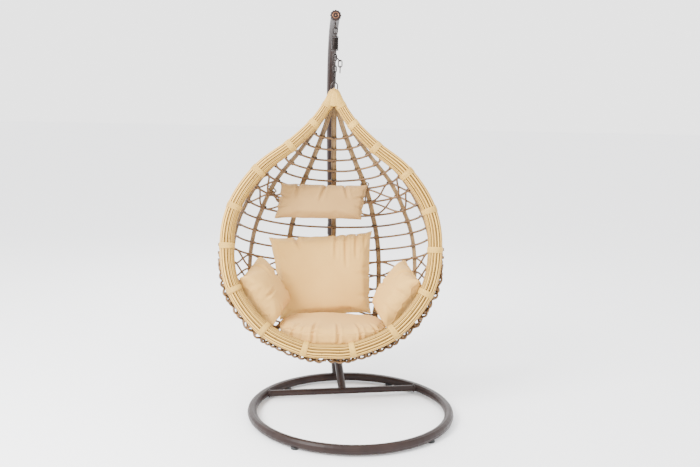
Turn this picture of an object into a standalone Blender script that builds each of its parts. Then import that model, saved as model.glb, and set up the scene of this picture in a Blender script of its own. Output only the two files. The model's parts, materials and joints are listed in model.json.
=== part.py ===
"""Hanging egg chair: a wicker basket with cushions, hung by a chain and a spring from a bowed steel stand.

Metres, +Z up. The seat faces -Y and the floor is z = 0. Every size that can be set by itself is named
below; the rest follows from those sizes and from GAP, the clearance between pieces that touch.
"""

import math

import bmesh
import bpy
from mathutils import Euler, Matrix, Vector

GAP = 0.0003

# Stand: a floor ring with a crossbar, and a post of two tubes that bows back round the basket.
RING_CENTRE = (0.0663, -0.1302)
STAND_TURN = math.radians(9.5)
RING_RADIUS = 0.4775
RING_TUBE = 0.0225
CROSSBAR_SETBACK = 0.257
CROSSBAR_TUBE = 0.0165
JOINT_BEHIND_CROSSBAR = 4.5
BOLT_BEHIND_CROSSBAR = 7.5
POST_TUBE = 0.0225
FRONT_LEG_TUBE = 0.021
SOCKET_SETBACK = 0.745
SOCKET_HEIGHT = 0.80
FRONT_LEG_TOP = 0.245
POST_TURN = math.radians(5.0)
POST_LEAN = math.radians(1.7)
HOOK_SETBACK = 0.17
POST_TOP = 1.905
POST_END_SETBACK = 0.135
SLEEVE_WALL = 0.002
SLEEVE_CLEARANCE = 0.0012
SLEEVE_LENGTH = 0.055
BOLT_HEIGHT = 0.0045
BOLT_RADIUS = 0.009
CAP_RADIUS = 0.0245
CAP_DEPTH = 0.010
# The cap's section, as shares of its radius and depth: a rim, a dished ring and a boss.
CAP_OUTLINE = (
    (0, 0), (1, 0), (1, 0.45), (0.86, 0.70), (0.80, 0.62), (0.62, 0.62), (0.54, 0.90), (0.30, 1), (0, 1),
)

# Feet: clip-on glides under the ring.
PAD_RADIUS = 0.019
PAD_HEIGHT = 0.014
PAD_WEB = 0.005
PAD_CLEARANCE = 0.0009
PAD_ANGLES = (-50, -130, 55, 125)

# Hanger: eye bolt, ring, spring with its two hooks, chain, and the chain's free tail.
EYE_WIRE = 0.0040
EYE_RADIUS = 0.0115
EYE_DROP = 0.0385
NUT_RADIUS = 0.0085
NUT_HEIGHT = 0.006
HANGER_WIRE = 0.0030
HANGER_HEIGHT = 0.030
HANGER_WIDTH = 0.021
HOOK_WIRE = 0.0025
HOOK_WIDTH = 0.0125
UPPER_HOOK_HEIGHT = 0.0175
LOWER_HOOK_HEIGHT = 0.0205
END_DISC = 0.0165
END_DISC_THICKNESS = 0.003
SPRING_LENGTH = 0.060
SPRING_RADIUS = 0.0143
SPRING_WIRE = 0.0022
SPRING_TURNS = 8
LINK_WIRE = 0.00275
LINK_LENGTH = 0.0325
LINK_WIDTH = 0.0175
LINK_TURNS = (0, 90, 0, 60, 120)
TAIL_SLANT = math.radians(45)
TAIL_OVERHANG = 0.0085
TAIL_DROP = 0.0085
BASKET_RING_WIRE = 0.0030
BASKET_RING_RADIUS = 0.0150

# Basket, in its own frame: its origin is the rim's apex, y points back from the rim's plane and z up in it.
BASKET_TILT = math.radians(11.5)
APEX_HEIGHT = 1.554
RIM_HALF_WIDTH = 0.494
RIM_HEIGHT = 1.232
SHELL_DEPTH = 0.600
SIDE_BULGE = 0.25
RIM_TUBE = 0.008
RIM_STEPS = 45
RIM_CANES = 0.0310
SLEEVE_START = 0.080
RIB_RADIUS = 0.0100
RIB_ANGLES = (0.0, 24.5, 49.0, 68.0)
RIB_ENDS = (1.0, 0.93, 0.85, 0.76)
RIB_SPREAD = 0.30
HOOP_RADIUS = 0.0035
HOOP_CLEARANCE = 0.0018
FIRST_HOOP = 0.237
HOOP_STEPS = (0.0655,) * 5 + (0.090,) * 2 + (0.070,) * 4 + (0.200, 0.220)
APEX_WRAP_HEIGHT = 0.104
APEX_WRAP_TOP = 0.0235
APEX_WRAP_SIDE = 0.0800
APEX_WRAP_DEPTH = 0.0350
APEX_WRAP_NECK = 0.36

# The rim's outline and the shell's middle section, from the apex to the rim's lowest point: a share of the
# half width or of the depth, then a share of the height.
RIM_SHAPE = (
    (0.0, 0.0), (0.060, 0.050), (0.186, 0.124), (0.405, 0.211), (0.704, 0.308), (0.931, 0.446),
    (1.0, 0.597), (0.925, 0.767), (0.638, 0.917), (0.255, 0.990), (0.0, 1.0),
)
BACK_SHAPE = (
    (0.0, 0.0), (0.10, 0.085), (0.23, 0.165), (0.42, 0.265), (0.66, 0.375), (0.86, 0.485), (0.97, 0.60),
    (1.0, 0.72), (0.94, 0.845), (0.79, 0.95), (0.56, 1.02), (0.30, 1.045), (0.08, 1.02), (0.0, 1.0),
)
BULGE_FULL_AT = 0.6
FAN_ENDS_AT = 0.4
SWEEP_STARTS_AT = 0.72

# Cushions: centre from the point on the floor under the hook, then size and turn.
SEAT_PLACE = (0.012, -0.055, 0.388)
SEAT_SIZE = (0.56, 0.41, 0.100)
SEAT_TAPER = 0.70
BACK_PLACE = (-0.042, 0.219, 0.622)
BACK_SIZE = (0.52, 0.105, 0.400)
BACK_TURN = (-14, -5, 0)
PILLOW_PLACE = (0.322, -0.028, 0.580)
PILLOW_SIZE = (0.105, 0.270, 0.270)
PILLOW_TURN = (12, 30, 18)
HEAD_PLACE = (-0.050, 0.112, 1.012)
HEAD_SIZE = (0.44, 0.095, 0.175)
HEAD_TURN = (-18, 0, 0)
PILLOW_EDGE = 0.34
PILLOW_HOLLOW = 0.06
SEAT_EDGE = 0.022

FINISHES = {
    "bronze_paint": ((0.115, 0.075, 0.060), 0.35, 0.6),
    "dark_steel": ((0.16, 0.14, 0.13), 0.35, 0.9),
    "rattan": ((0.72, 0.53, 0.31), 0.55, 0.0),
    "wicker": ((0.38, 0.28, 0.20), 0.60, 0.0),
    "cushion_fabric": ((0.66, 0.55, 0.42), 0.90, 0.0),
    "black_plastic": ((0.03, 0.03, 0.03), 0.50, 0.0),
}

parts = None
cutters = None
materials = {}


# ---------------------------------------------------------------- scene set-up


def clear_scene():
    for obj in list(bpy.data.objects):
        bpy.data.objects.remove(obj, do_unlink=True)


def make_collections():
    global parts, cutters
    parts = bpy.data.collections.new("hanging_egg_chair")
    cutters = bpy.data.collections.new("cutters")
    cutters.hide_render = True
    for collection in (parts, cutters):
        bpy.context.scene.collection.children.link(collection)


def make_materials():
    for name, (colour, roughness, metallic) in FINISHES.items():
        material = bpy.data.materials.new(name)
        material.use_nodes = True
        shader = material.node_tree.nodes["Principled BSDF"]
        shader.inputs["Base Color"].default_value = (*colour, 1.0)
        shader.inputs["Roughness"].default_value = roughness
        shader.inputs["Metallic"].default_value = metallic
        materials[name] = material


# ---------------------------------------------------------------- shape helpers


def keep(obj, finish, parent=None):
    """Puts an object among the parts with its finish, under its parent."""
    obj.data.materials.clear()
    obj.data.materials.append(materials[finish])
    parts.objects.link(obj)
    obj.parent = parent
    return obj


def empty(name, location, rotation=(0, 0, 0), parent=None):
    obj = bpy.data.objects.new(name, None)
    obj.location = location
    obj.rotation_euler = rotation
    obj.empty_display_size = 0.05
    obj.parent = parent
    parts.objects.link(obj)
    return obj


def smooth_path(points, steps, mirrored=False):
    """A Catmull-Rom curve through the points, with that many steps between each two.

    A mirrored path is half of a loop that is symmetric about x = 0, so it leaves its ends level.
    """
    points = [Vector(p) for p in points]
    before, after = points[1].copy(), points[-2].copy()
    if mirrored:
        before.x, after.x = -before.x, -after.x
    else:
        before, after = 2 * points[0] - before, 2 * points[-1] - after
    ends = [before, *points, after]
    path = []
    for a, b, c, d in zip(ends, ends[1:], ends[2:], ends[3:]):
        for step in range(steps):
            t = step / steps
            bend = (2 * a - 5 * b + 4 * c - d) * t * t + (3 * b - a - 3 * c + d) * t**3
            path.append(0.5 * (2 * b + (c - a) * t + bend))
    return [*path, points[-1]]


def spaced(path, count):
    """The same path as a number of points at equal distances along it."""
    lengths = [0.0]
    for a, b in zip(path, path[1:]):
        lengths.append(lengths[-1] + (b - a).length)
    found = []
    segment = 0
    for i in range(count):
        wanted = lengths[-1] * i / (count - 1)
        while segment < len(path) - 2 and lengths[segment + 1] < wanted:
            segment += 1
        share = (wanted - lengths[segment]) / (lengths[segment + 1] - lengths[segment])
        found.append(path[segment].lerp(path[segment + 1], share))
    return found


def tube_curve(name, path, radius, resolution=2, closed=False, caps=True):
    """A round bar along a path, as a curve object that is in no collection yet."""
    curve = bpy.data.curves.new(name, "CURVE")
    curve.dimensions = "3D"
    curve.bevel_depth = radius
    curve.bevel_resolution = resolution
    curve.use_fill_caps = caps and not closed
    spline = curve.splines.new("POLY")
    spline.points.add(len(path) - 1)
    for point, place in zip(spline.points, path):
        point.co = (*place, 1.0)
    spline.use_cyclic_u = closed
    spline.use_smooth = True
    return bpy.data.objects.new(name, curve)


def as_mesh(curve_object):
    """The curve as a closed mesh object, for a piece that is cut or joined."""
    bpy.context.scene.collection.objects.link(curve_object)
    graph = bpy.context.evaluated_depsgraph_get()
    mesh = bpy.data.meshes.new_from_object(curve_object.evaluated_get(graph))
    work = bmesh.new()
    work.from_mesh(mesh)
    bmesh.ops.remove_doubles(work, verts=work.verts, dist=1e-6)
    bmesh.ops.recalc_face_normals(work, faces=work.faces)
    work.to_mesh(mesh)
    work.free()
    name = curve_object.name
    place = curve_object.matrix_world.copy()
    bpy.data.objects.remove(curve_object, do_unlink=True)
    obj = bpy.data.objects.new(name, mesh)
    obj.matrix_world = place
    return obj


def cylinder(name, radius, depth, segments=24, top_radius=None):
    """A cylinder or cone along Z about its own middle."""
    mesh = bpy.data.meshes.new(name)
    work = bmesh.new()
    top = radius if top_radius is None else top_radius
    bmesh.ops.create_cone(work, cap_ends=True, segments=segments, radius1=radius, radius2=top, depth=depth)
    work.to_mesh(mesh)
    work.free()
    return bpy.data.objects.new(name, mesh)


def lathe(name, outline, steps):
    """A closed solid turned about Z from an outline of (radius, height) points."""
    obj = bpy.data.objects.new(name, bpy.data.meshes.new(name))
    work = bmesh.new()
    verts = [work.verts.new((radius, 0, height)) for radius, height in outline]
    for a, b in zip(verts, verts[1:]):
        work.edges.new((a, b))
    work.to_mesh(obj.data)
    work.free()
    screw = obj.modifiers.new("turned", "SCREW")
    screw.steps = steps
    screw.render_steps = steps
    screw.use_merge_vertices = True
    screw.merge_threshold = 0.0001
    screw.use_normal_calculate = True
    return obj


def shade_smooth(obj, angle=40):
    """Smooth shading, with edges sharper than the angle kept sharp."""
    work = bmesh.new()
    work.from_mesh(obj.data)
    for face in work.faces:
        face.smooth = True
    for edge in work.edges:
        edge.smooth = len(edge.link_faces) == 2 and edge.calc_face_angle(0.0) < math.radians(angle)
    work.to_mesh(obj.data)
    work.free()


def boolean(obj, other, operation="DIFFERENCE"):
    """Cuts or joins another solid, which goes with the cutters."""
    if other.name not in cutters.objects:
        cutters.objects.link(other)
        other.display_type = "WIRE"
        other.hide_render = True
    modifier = obj.modifiers.new(f"{operation.lower()}_{other.name}", "BOOLEAN")
    modifier.operation = operation
    modifier.solver = "EXACT"
    modifier.object = other
    return modifier


def bevel(obj, width, segments=2):
    modifier = obj.modifiers.new("rounded_edges", "BEVEL")
    modifier.width = width
    modifier.segments = segments
    modifier.limit_method = "ANGLE"
    modifier.angle_limit = math.radians(35)


def loop_path(length, width, count):
    """A flat oval in the XZ plane about its own middle: two half circles and two straight sides."""
    radius = width / 2
    straight = length / 2 - radius
    half = count // 2
    path = []
    for side in (1, -1):
        for i in range(half):
            angle = math.pi * i / (half - 1)
            across = radius * math.cos(angle)
            along = straight + radius * math.sin(angle)
            path.append(Vector((side * across, 0, side * along)))
    return path


def turned(path, matrix):
    return [matrix @ point for point in path]


# ---------------------------------------------------------------- places that several pieces share


def stand_point(setback, height):
    """A point of the stand's middle plane, in the stand's own frame."""
    return Vector((0, setback, height))


RING_HEIGHT = PAD_WEB + PAD_CLEARANCE + RING_TUBE
BASE_PLACE = Matrix.Translation((*RING_CENTRE, 0)) @ Matrix.Rotation(STAND_TURN, 4, "Z")
SOCKET = stand_point(SOCKET_SETBACK, SOCKET_HEIGHT)
POST_PLACE = (
    BASE_PLACE
    @ Matrix.Translation(SOCKET)
    @ Matrix.Rotation(-POST_TURN, 4, "Z")
    @ Matrix.Rotation(-POST_LEAN, 4, "Y")
)
# The upper post's centre line from the socket: straight in the sleeve, then bowed over to the hook.
POST_ROUTE = (
    (0, 0, 0), (0, 0, 0.04), (0, 0.002, 0.20), (0, -0.018, 0.45), (0, -0.080, 0.70),
    (0, -0.190, 0.885), (0, -0.345, 1.015), (0, -0.490, 1.078),
    (0, POST_END_SETBACK - SOCKET_SETBACK, POST_TOP - SOCKET_HEIGHT),
)


def post_height_at(setback):
    """How high above the socket the post's centre line is, at a setback in front of the socket."""
    path = smooth_path(POST_ROUTE, 12)
    return min(path[len(path) // 2:], key=lambda p: abs(p.y - (setback - SOCKET_SETBACK))).z


EYE_LOCAL = Vector((0, HOOK_SETBACK - SOCKET_SETBACK, post_height_at(HOOK_SETBACK) - EYE_DROP))
EYE = POST_PLACE @ EYE_LOCAL
HOOK_X, HOOK_Y = EYE.x, EYE.y

# Heights down the hanger, each a wire's centre, at the point where two pieces bear on each other.
HANGER_TOP = EYE.z - EYE_RADIUS + EYE_WIRE + HANGER_WIRE + GAP
HANGER_BOTTOM = HANGER_TOP - HANGER_HEIGHT
UPPER_HOOK_TOP = HANGER_BOTTOM + HANGER_WIRE + HOOK_WIRE + GAP
COIL_TOP = UPPER_HOOK_TOP - UPPER_HOOK_HEIGHT - END_DISC_THICKNESS
COIL_BOTTOM = COIL_TOP - SPRING_LENGTH
LOWER_HOOK_BOTTOM = COIL_BOTTOM - END_DISC_THICKNESS - LOWER_HOOK_HEIGHT
LINK_STEP = LINK_LENGTH - 2 * LINK_WIRE - GAP
FIRST_LINK_TOP = LOWER_HOOK_BOTTOM + HOOK_WIRE + LINK_WIRE + GAP
LAST_LINK_BOTTOM = FIRST_LINK_TOP - LINK_LENGTH - LINK_STEP * (len(LINK_TURNS) - 1)
BASKET_RING_TOP = LAST_LINK_BOTTOM + LINK_WIRE + BASKET_RING_WIRE + GAP
APEX = Vector((HOOK_X, HOOK_Y, APEX_HEIGHT))
QUARTER_TURN = Matrix.Rotation(math.pi / 2, 4, "Z")


class Shell:
    """The basket's surface between its rim and its middle section, with the curves drawn on it."""

    def __init__(self):
        rim = [(across * RIM_HALF_WIDTH, 0, -down * RIM_HEIGHT) for across, down in RIM_SHAPE]
        back = [(0, depth * SHELL_DEPTH, -down * RIM_HEIGHT) for depth, down in BACK_SHAPE]
        self.rim = spaced(smooth_path(rim, 12, mirrored=True), 241)
        self.back = spaced(smooth_path(back, 12), 241)
        self.back_length = sum((b - a).length for a, b in zip(self.back, self.back[1:]))

    def sample(self, path, t):
        place = max(0.0, min(1.0, t)) * (len(path) - 1)
        index = min(int(place), len(path) - 2)
        return path[index].lerp(path[index + 1], place - index)

    def point(self, angle, t):
        """A point at an angle round from the middle section, t of the way from the apex to the front."""
        rim = self.sample(self.rim, t)
        back = self.sample(self.back, t)
        bulge = SIDE_BULGE * min(1.0, t / BULGE_FULL_AT)
        across = rim.x * math.sin(angle) * (1 + bulge * math.cos(angle))
        down = rim.z + (back.z - rim.z) * math.cos(angle)
        return Vector((across, back.y * math.cos(angle), down))

    def normal(self, angle, t):
        """The outward normal."""
        step = 1e-3
        t = max(2 * step, min(1 - 2 * step, t))
        along = self.point(angle, t + step) - self.point(angle, t - step)
        across = self.point(angle + step, t) - self.point(angle - step, t)
        return across.cross(-along).normalized()

    def rim_distance(self, place):
        flat = Vector((abs(place.x), place.y, place.z))
        return min((flat - p).length for p in self.rim)

    def rib(self, angle, end, side):
        """A rib's route: fanned out at the top, then down the back, under the seat and out to the rim."""
        path = []
        for step in range(161):
            t = end * step / 160
            fan = angle * (1 + RIB_SPREAD * max(0.0, 1 - t / FAN_ENDS_AT))
            sweep = max(0.0, (t / end - SWEEP_STARTS_AT) / (1 - SWEEP_STARTS_AT))
            turn = math.radians(fan + (90 - fan) * sweep**2 * (3 - 2 * sweep)) if angle else 0.0
            path.append(self.point(side * turn, t))
        return path

    def hoop(self, arc):
        """A hoop's route from one side of the rim to the other, outside the ribs."""
        t = arc / self.back_length
        lift = RIB_RADIUS + HOOP_RADIUS + HOOP_CLEARANCE
        turns = [math.radians(-90 + 180 * step / 120) for step in range(121)]
        return [self.point(turn, t) + self.normal(turn, t) * lift for turn in turns]

    def clear_of_rim(self, path, radius):
        return [p for p in path if self.rim_distance(p) >= RIM_CANES + radius + 2 * GAP]


# ---------------------------------------------------------------- stand


def clearance(name, path, radius, parent, resolution=4, closed=False):
    """A cutter that leaves GAP round a bar along the path, and past its ends."""
    if not closed:
        first = path[0] + (path[0] - path[1]).normalized() * 2 * GAP
        last = path[-1] + (path[-1] - path[-2]).normalized() * 2 * GAP
        path = [first, *path[1:-1], last]
    cutter = as_mesh(tube_curve(name, path, radius + GAP, resolution, closed=closed))
    cutter.parent = parent
    return cutter


def ring_path(start, end, count):
    """An arc of the floor ring, with a short piece at each end so that its end faces are square."""
    angles = [start + (end - start) * i / (count - 1) for i in range(count)]
    angles = [math.radians(a) for a in (start, start + 0.1, *angles[1:-1], end - 0.1, end)]
    return [Vector((RING_RADIUS * math.cos(a), RING_RADIUS * math.sin(a), RING_HEIGHT)) for a in angles]


def crossbar_angle():
    """Where the crossbar meets the ring, in degrees from the right."""
    return math.degrees(math.asin(CROSSBAR_SETBACK / RING_RADIUS))


def joint_angle():
    """Where the arcs butt, just behind the crossbar's ends."""
    return crossbar_angle() + JOINT_BEHIND_CROSSBAR


def front_arc():
    return ring_path(-180 - joint_angle(), joint_angle(), 57)


def rear_arc():
    slit = math.degrees(GAP / RING_RADIUS)
    return ring_path(joint_angle() + slit, 180 - joint_angle() - slit, 25)


def make_base(base):
    """The floor ring in two arcs, butted just behind the crossbar, and the crossbar between them."""
    front = tube_curve("base_ring_front", front_arc(), RING_TUBE, 4)
    rear = tube_curve("base_ring_rear", rear_arc(), RING_TUBE, 4)
    keep(front, "bronze_paint", base)
    keep(rear, "bronze_paint", base)

    half = math.sqrt(RING_RADIUS**2 - CROSSBAR_SETBACK**2)
    bar = cylinder("crossbar", CROSSBAR_TUBE, 2 * half, 16)
    bar.location = stand_point(CROSSBAR_SETBACK, RING_HEIGHT)
    bar.rotation_euler = (0, math.pi / 2, 0)
    shade_smooth(bar)
    keep(bar, "bronze_paint", base)
    boolean(bar, clearance("front_ring_clearance", front_arc(), RING_TUBE, base))


def post_foot_path():
    """From the back of the ring up and back to the socket, as shares of the reach and of the rise."""
    rise = SOCKET_HEIGHT - RING_HEIGHT
    reach = SOCKET_SETBACK - RING_RADIUS
    shares = ((0, 0), (0.43, 0.235), (0.80, 0.53), (0.96, 0.80), (1, 1 - SLEEVE_LENGTH / rise), (1, 1))
    return [stand_point(RING_RADIUS + back * reach, RING_HEIGHT + up * rise) for back, up in shares]


def make_post(base, post):
    """The lower post on the ring, the front leg from the crossbar to it, and the upper post."""
    lower_path = smooth_path(post_foot_path(), 6)
    lower = as_mesh(tube_curve("lower_post", lower_path, POST_TUBE, 4))
    keep(lower, "bronze_paint", base)
    boolean(lower, clearance("rear_ring_clearance", rear_arc(), RING_TUBE, base))

    meet = min(lower_path, key=lambda p: abs(p.z - FRONT_LEG_TOP))
    foot = stand_point(CROSSBAR_SETBACK, RING_HEIGHT)
    leg = as_mesh(tube_curve("front_leg", spaced([foot, meet], 5), FRONT_LEG_TUBE, 4))
    keep(leg, "bronze_paint", base)
    boolean(leg, clearance("post_clearance", lower_path, POST_TUBE, base))
    clear_bar = cylinder("bar_clearance", CROSSBAR_TUBE + GAP, RING_RADIUS, 16)
    clear_bar.location = foot
    clear_bar.rotation_euler = (0, math.pi / 2, 0)
    clear_bar.parent = base
    boolean(leg, clear_bar)

    path = smooth_path(POST_ROUTE, 5)
    path[0] = Vector((0, 0, GAP + POST_TUBE * math.sin(POST_LEAN)))
    upper = as_mesh(tube_curve("upper_post", path, POST_TUBE, 4))
    keep(upper, "bronze_paint", post)
    return upper


def make_sleeve(base):
    """The collar over the joint of the two posts, and the bolt through its front."""
    bore_radius = POST_TUBE + SLEEVE_CLEARANCE
    radius = bore_radius + SLEEVE_WALL
    sleeve = cylinder("post_sleeve", radius, SLEEVE_LENGTH, 24)
    sleeve.location = SOCKET
    shade_smooth(sleeve)
    keep(sleeve, "bronze_paint", base)
    bore = cylinder("sleeve_bore", bore_radius, 2 * SLEEVE_LENGTH, 24)
    bore.location = SOCKET
    bore.parent = base
    boolean(sleeve, bore)
    bevel(sleeve, 0.0008, 1)
    bolt = bolt_head("post_bolt")
    bolt.location = SOCKET + Vector((0, -(radius + GAP), 0))
    bolt.rotation_euler = (math.pi / 2, 0, 0)
    keep(bolt, "dark_steel", base)


def bolt_head(name):
    """A domed head with a flat seat at its own z = 0."""
    edge = BOLT_HEIGHT / 4
    outline = [(0, 0), (BOLT_RADIUS, 0)]
    for degrees in (0, 30, 60, 90):
        angle = math.radians(degrees)
        outline.append((BOLT_RADIUS * math.cos(angle), edge + (BOLT_HEIGHT - edge) * math.sin(angle)))
    outline[-1] = (0, BOLT_HEIGHT)
    return lathe(name, outline, 12)


def make_ring_bolts(base):
    """One bolt head on the outer face of the ring at each butt joint."""
    place = crossbar_angle() + BOLT_BEHIND_CROSSBAR
    for name, degrees in (("ring_bolt_right", place), ("ring_bolt_left", 180 - place)):
        angle = math.radians(degrees)
        bolt = bolt_head(name)
        reach = RING_RADIUS + RING_TUBE + GAP
        bolt.location = (reach * math.cos(angle), reach * math.sin(angle), RING_HEIGHT)
        bolt.rotation_euler = Euler((0, math.pi / 2, angle))
        keep(bolt, "dark_steel", base)


def make_pads(base):
    """Glides that clip up round the ring's underside, each with a flat sole."""
    names = ("foot_pad_front_right", "foot_pad_front_left", "foot_pad_rear_right", "foot_pad_rear_left")
    for name, degrees in zip(names, PAD_ANGLES):
        angle = math.radians(degrees)
        glide = cylinder(name, PAD_RADIUS, PAD_HEIGHT, 20)
        place = Vector((RING_RADIUS * math.cos(angle), RING_RADIUS * math.sin(angle), PAD_HEIGHT / 2))
        glide.location = place
        shade_smooth(glide)
        keep(glide, "black_plastic", base)
        groove = cylinder(f"{name}_groove", RING_TUBE + PAD_CLEARANCE, 4 * PAD_RADIUS, 32)
        groove.location = (place.x, place.y, RING_HEIGHT)
        groove.rotation_euler = Euler((math.pi / 2, 0, angle))
        groove.parent = base
        boolean(glide, groove)


def make_post_end(post, upper):
    """The rosette cap in the post's end, and the eye bolt through the post with its nut."""
    path = smooth_path(POST_ROUTE, 5)
    aim = (path[-1] - path[-2]).normalized()
    outline = [(radius * CAP_RADIUS, height * CAP_DEPTH) for radius, height in CAP_OUTLINE]
    cap = lathe("post_end_cap", outline, 24)
    cap.location = path[-1] + aim * GAP
    cap.rotation_euler = aim.to_track_quat("Z", "Y").to_euler()
    keep(cap, "bronze_paint", post)

    seat = post_height_at(HOOK_SETBACK)
    across = HOOK_SETBACK - SOCKET_SETBACK
    shank_top = seat + POST_TUBE + NUT_HEIGHT
    shank_bottom = seat - EYE_DROP + EYE_RADIUS - EYE_WIRE / 2
    hole = cylinder("eye_bolt_hole", EYE_WIRE + GAP, 4 * POST_TUBE, 16)
    hole.location = (0, across, seat)
    hole.parent = post
    boolean(upper, hole)
    turns = [2 * math.pi * i / 24 for i in range(24)]
    ring = [Vector((0, EYE_RADIUS * math.cos(a), EYE_RADIUS * math.sin(a))) for a in turns]
    eye = as_mesh(tube_curve("eye_bolt", ring, EYE_WIRE, 2, closed=True))
    eye.location = EYE_LOCAL
    keep(eye, "dark_steel", post)
    shank = cylinder("eye_shank", EYE_WIRE, shank_top - shank_bottom, 16)
    shank.location = (0, across, (shank_top + shank_bottom) / 2)
    shank.parent = post
    boolean(eye, shank, "UNION")
    nut = cylinder("eye_nut", NUT_RADIUS, NUT_HEIGHT, 6)
    nut.location = (0, across, shank_top + GAP + NUT_HEIGHT / 2)
    keep(nut, "dark_steel", post)


# ---------------------------------------------------------------- hanger


def make_hanger_ring(pivot):
    middle = HANGER_TOP - HANGER_HEIGHT / 2 - pivot.location.z
    path = [p + Vector((0, 0, middle)) for p in loop_path(HANGER_HEIGHT, HANGER_WIDTH, 20)]
    keep(tube_curve("hanger_ring", path, HANGER_WIRE, 2, closed=True), "dark_steel", pivot)


def make_hook(name, pivot, tip, plate_middle):
    """A loop across the YZ plane, from its tip into the middle of the plate that holds the coil's end."""
    middle = Matrix.Translation((0, 0, (tip + plate_middle) / 2 - pivot.location.z))
    path = turned(loop_path(abs(tip - plate_middle), HOOK_WIDTH, 20), middle @ QUARTER_TURN)
    loop = as_mesh(tube_curve(name, path, HOOK_WIRE, 2, closed=True))
    keep(loop, "dark_steel", pivot)
    plate = cylinder(f"{name}_plate", END_DISC, END_DISC_THICKNESS, 24)
    plate.location = (0, 0, plate_middle - pivot.location.z)
    plate.parent = pivot
    boolean(loop, plate, "UNION")


def make_spring(pivot):
    """The coil between the two plates."""
    count = SPRING_TURNS * 12
    top = COIL_TOP - SPRING_WIRE - GAP - pivot.location.z
    travel = SPRING_LENGTH - 2 * (SPRING_WIRE + GAP)
    path = []
    for i in range(count + 1):
        angle = 2 * math.pi * i / 12
        height = top - travel * i / count
        path.append(Vector((SPRING_RADIUS * math.cos(angle), SPRING_RADIUS * math.sin(angle), height)))
    keep(tube_curve("coil_spring", path, SPRING_WIRE, 1), "dark_steel", pivot)


def link(name, top, degrees, pivot):
    """A chain link whose upper end's wire is at that height above the pivot, turned about Z."""
    middle = Matrix.Translation((0, 0, top - LINK_LENGTH / 2))
    place = middle @ Matrix.Rotation(math.radians(degrees), 4, "Z")
    path = turned(loop_path(LINK_LENGTH, LINK_WIDTH, 18), place)
    keep(tube_curve(name, path, LINK_WIRE, 2, closed=True), "dark_steel", pivot)


def make_chain(swivel):
    top = FIRST_LINK_TOP - swivel.location.z
    for number, degrees in enumerate(LINK_TURNS):
        link(f"chain_link_{number + 1}", top - LINK_STEP * number, degrees, swivel)


def make_tail(swivel):
    """Three spare links: one slung from the first link's side, two hanging from its far end."""
    crossing = FIRST_LINK_TOP - LINK_WIDTH / 2 - TAIL_DROP - swivel.location.z
    first = empty("tail_pivot_1", (LINK_WIDTH / 2, 0, crossing), parent=swivel)
    aim = Vector((math.cos(TAIL_SLANT), 0, -math.sin(TAIL_SLANT)))
    middle = Matrix.Translation(aim * (LINK_LENGTH / 2 - TAIL_OVERHANG))
    slung = middle @ Matrix.Rotation(math.pi / 2 + TAIL_SLANT, 4, "Y") @ QUARTER_TURN
    path = turned(loop_path(LINK_LENGTH, LINK_WIDTH, 18), slung)
    keep(tube_curve("tail_link_1", path, LINK_WIRE, 2, closed=True), "dark_steel", first)

    second = empty("tail_pivot_2", aim * (LINK_LENGTH - TAIL_OVERHANG), parent=first)
    rise = 2 * LINK_WIRE + GAP
    link("tail_link_2", rise, 0, second)
    third = empty("tail_pivot_3", (0, 0, rise - LINK_LENGTH), parent=second)
    link("tail_link_3", rise, 90, third)


# ---------------------------------------------------------------- basket


def make_basket_ring(basket):
    """The bail that the chain holds: a half circle on two legs, which stand on the rim tube."""
    top = BASKET_RING_TOP - APEX.z
    centre = top - BASKET_RING_RADIUS
    foot = RIM_TUBE + 3 * GAP
    path = [Vector((BASKET_RING_RADIUS, 0, foot))]
    for step in range(13):
        angle = math.pi * step / 12
        rise = BASKET_RING_RADIUS * math.sin(angle)
        path.append(Vector((BASKET_RING_RADIUS * math.cos(angle), 0, centre + rise)))
    path.append(Vector((-BASKET_RING_RADIUS, 0, foot)))
    path = turned(path, Matrix.Rotation(BASKET_TILT, 4, "X"))
    keep(tube_curve("basket_ring", path, BASKET_RING_WIRE, 2), "dark_steel", basket)
    return path


def rim_loop(shell):
    right = spaced(shell.rim, RIM_STEPS)
    left = [Vector((-p.x, p.y, p.z)) for p in reversed(right[1:-1])]
    return right + left


def bundle_path(shell):
    """Down the right side and up the left, open at the apex."""
    return [p for p in rim_loop(shell) if -p.z > SLEEVE_START]


def make_rim(shell, basket):
    """A steel tube all round, and the bundle of canes over it, open at the apex."""
    keep(tube_curve("rim_tube", rim_loop(shell), RIM_TUBE, 2, closed=True), "bronze_paint", basket)
    canes = tube_curve("rim_canes", bundle_path(shell), RIM_CANES, 3, caps=False)
    wall = canes.modifiers.new("wall", "SOLIDIFY")
    wall.thickness = RIM_CANES - RIM_TUBE - 2 * GAP
    wall.offset = -1
    keep(canes, "rattan", basket)


def make_apex_wrap(shell, basket, bail):
    """The lashing over the apex, with a passage for the rim tube and two for the bail's legs."""
    wrap = cylinder("apex_wrap", 1.0, 1.0, 24, APEX_WRAP_NECK)
    for vertex in wrap.data.vertices:
        vertex.co.x *= APEX_WRAP_SIDE
        vertex.co.y *= APEX_WRAP_DEPTH
        vertex.co.z = APEX_WRAP_TOP - APEX_WRAP_HEIGHT * (0.5 - vertex.co.z)
    shade_smooth(wrap, 60)
    keep(wrap, "rattan", basket)
    bevel(wrap, 0.006, 2)
    boolean(wrap, clearance("rim_passage", rim_loop(shell), RIM_TUBE + GAP, basket, 2, closed=True))
    boolean(wrap, clearance("bundle_passage", bundle_path(shell), RIM_CANES, basket, 3))
    boolean(wrap, clearance("bail_passage", bail, BASKET_RING_WIRE, basket, 2))


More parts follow.
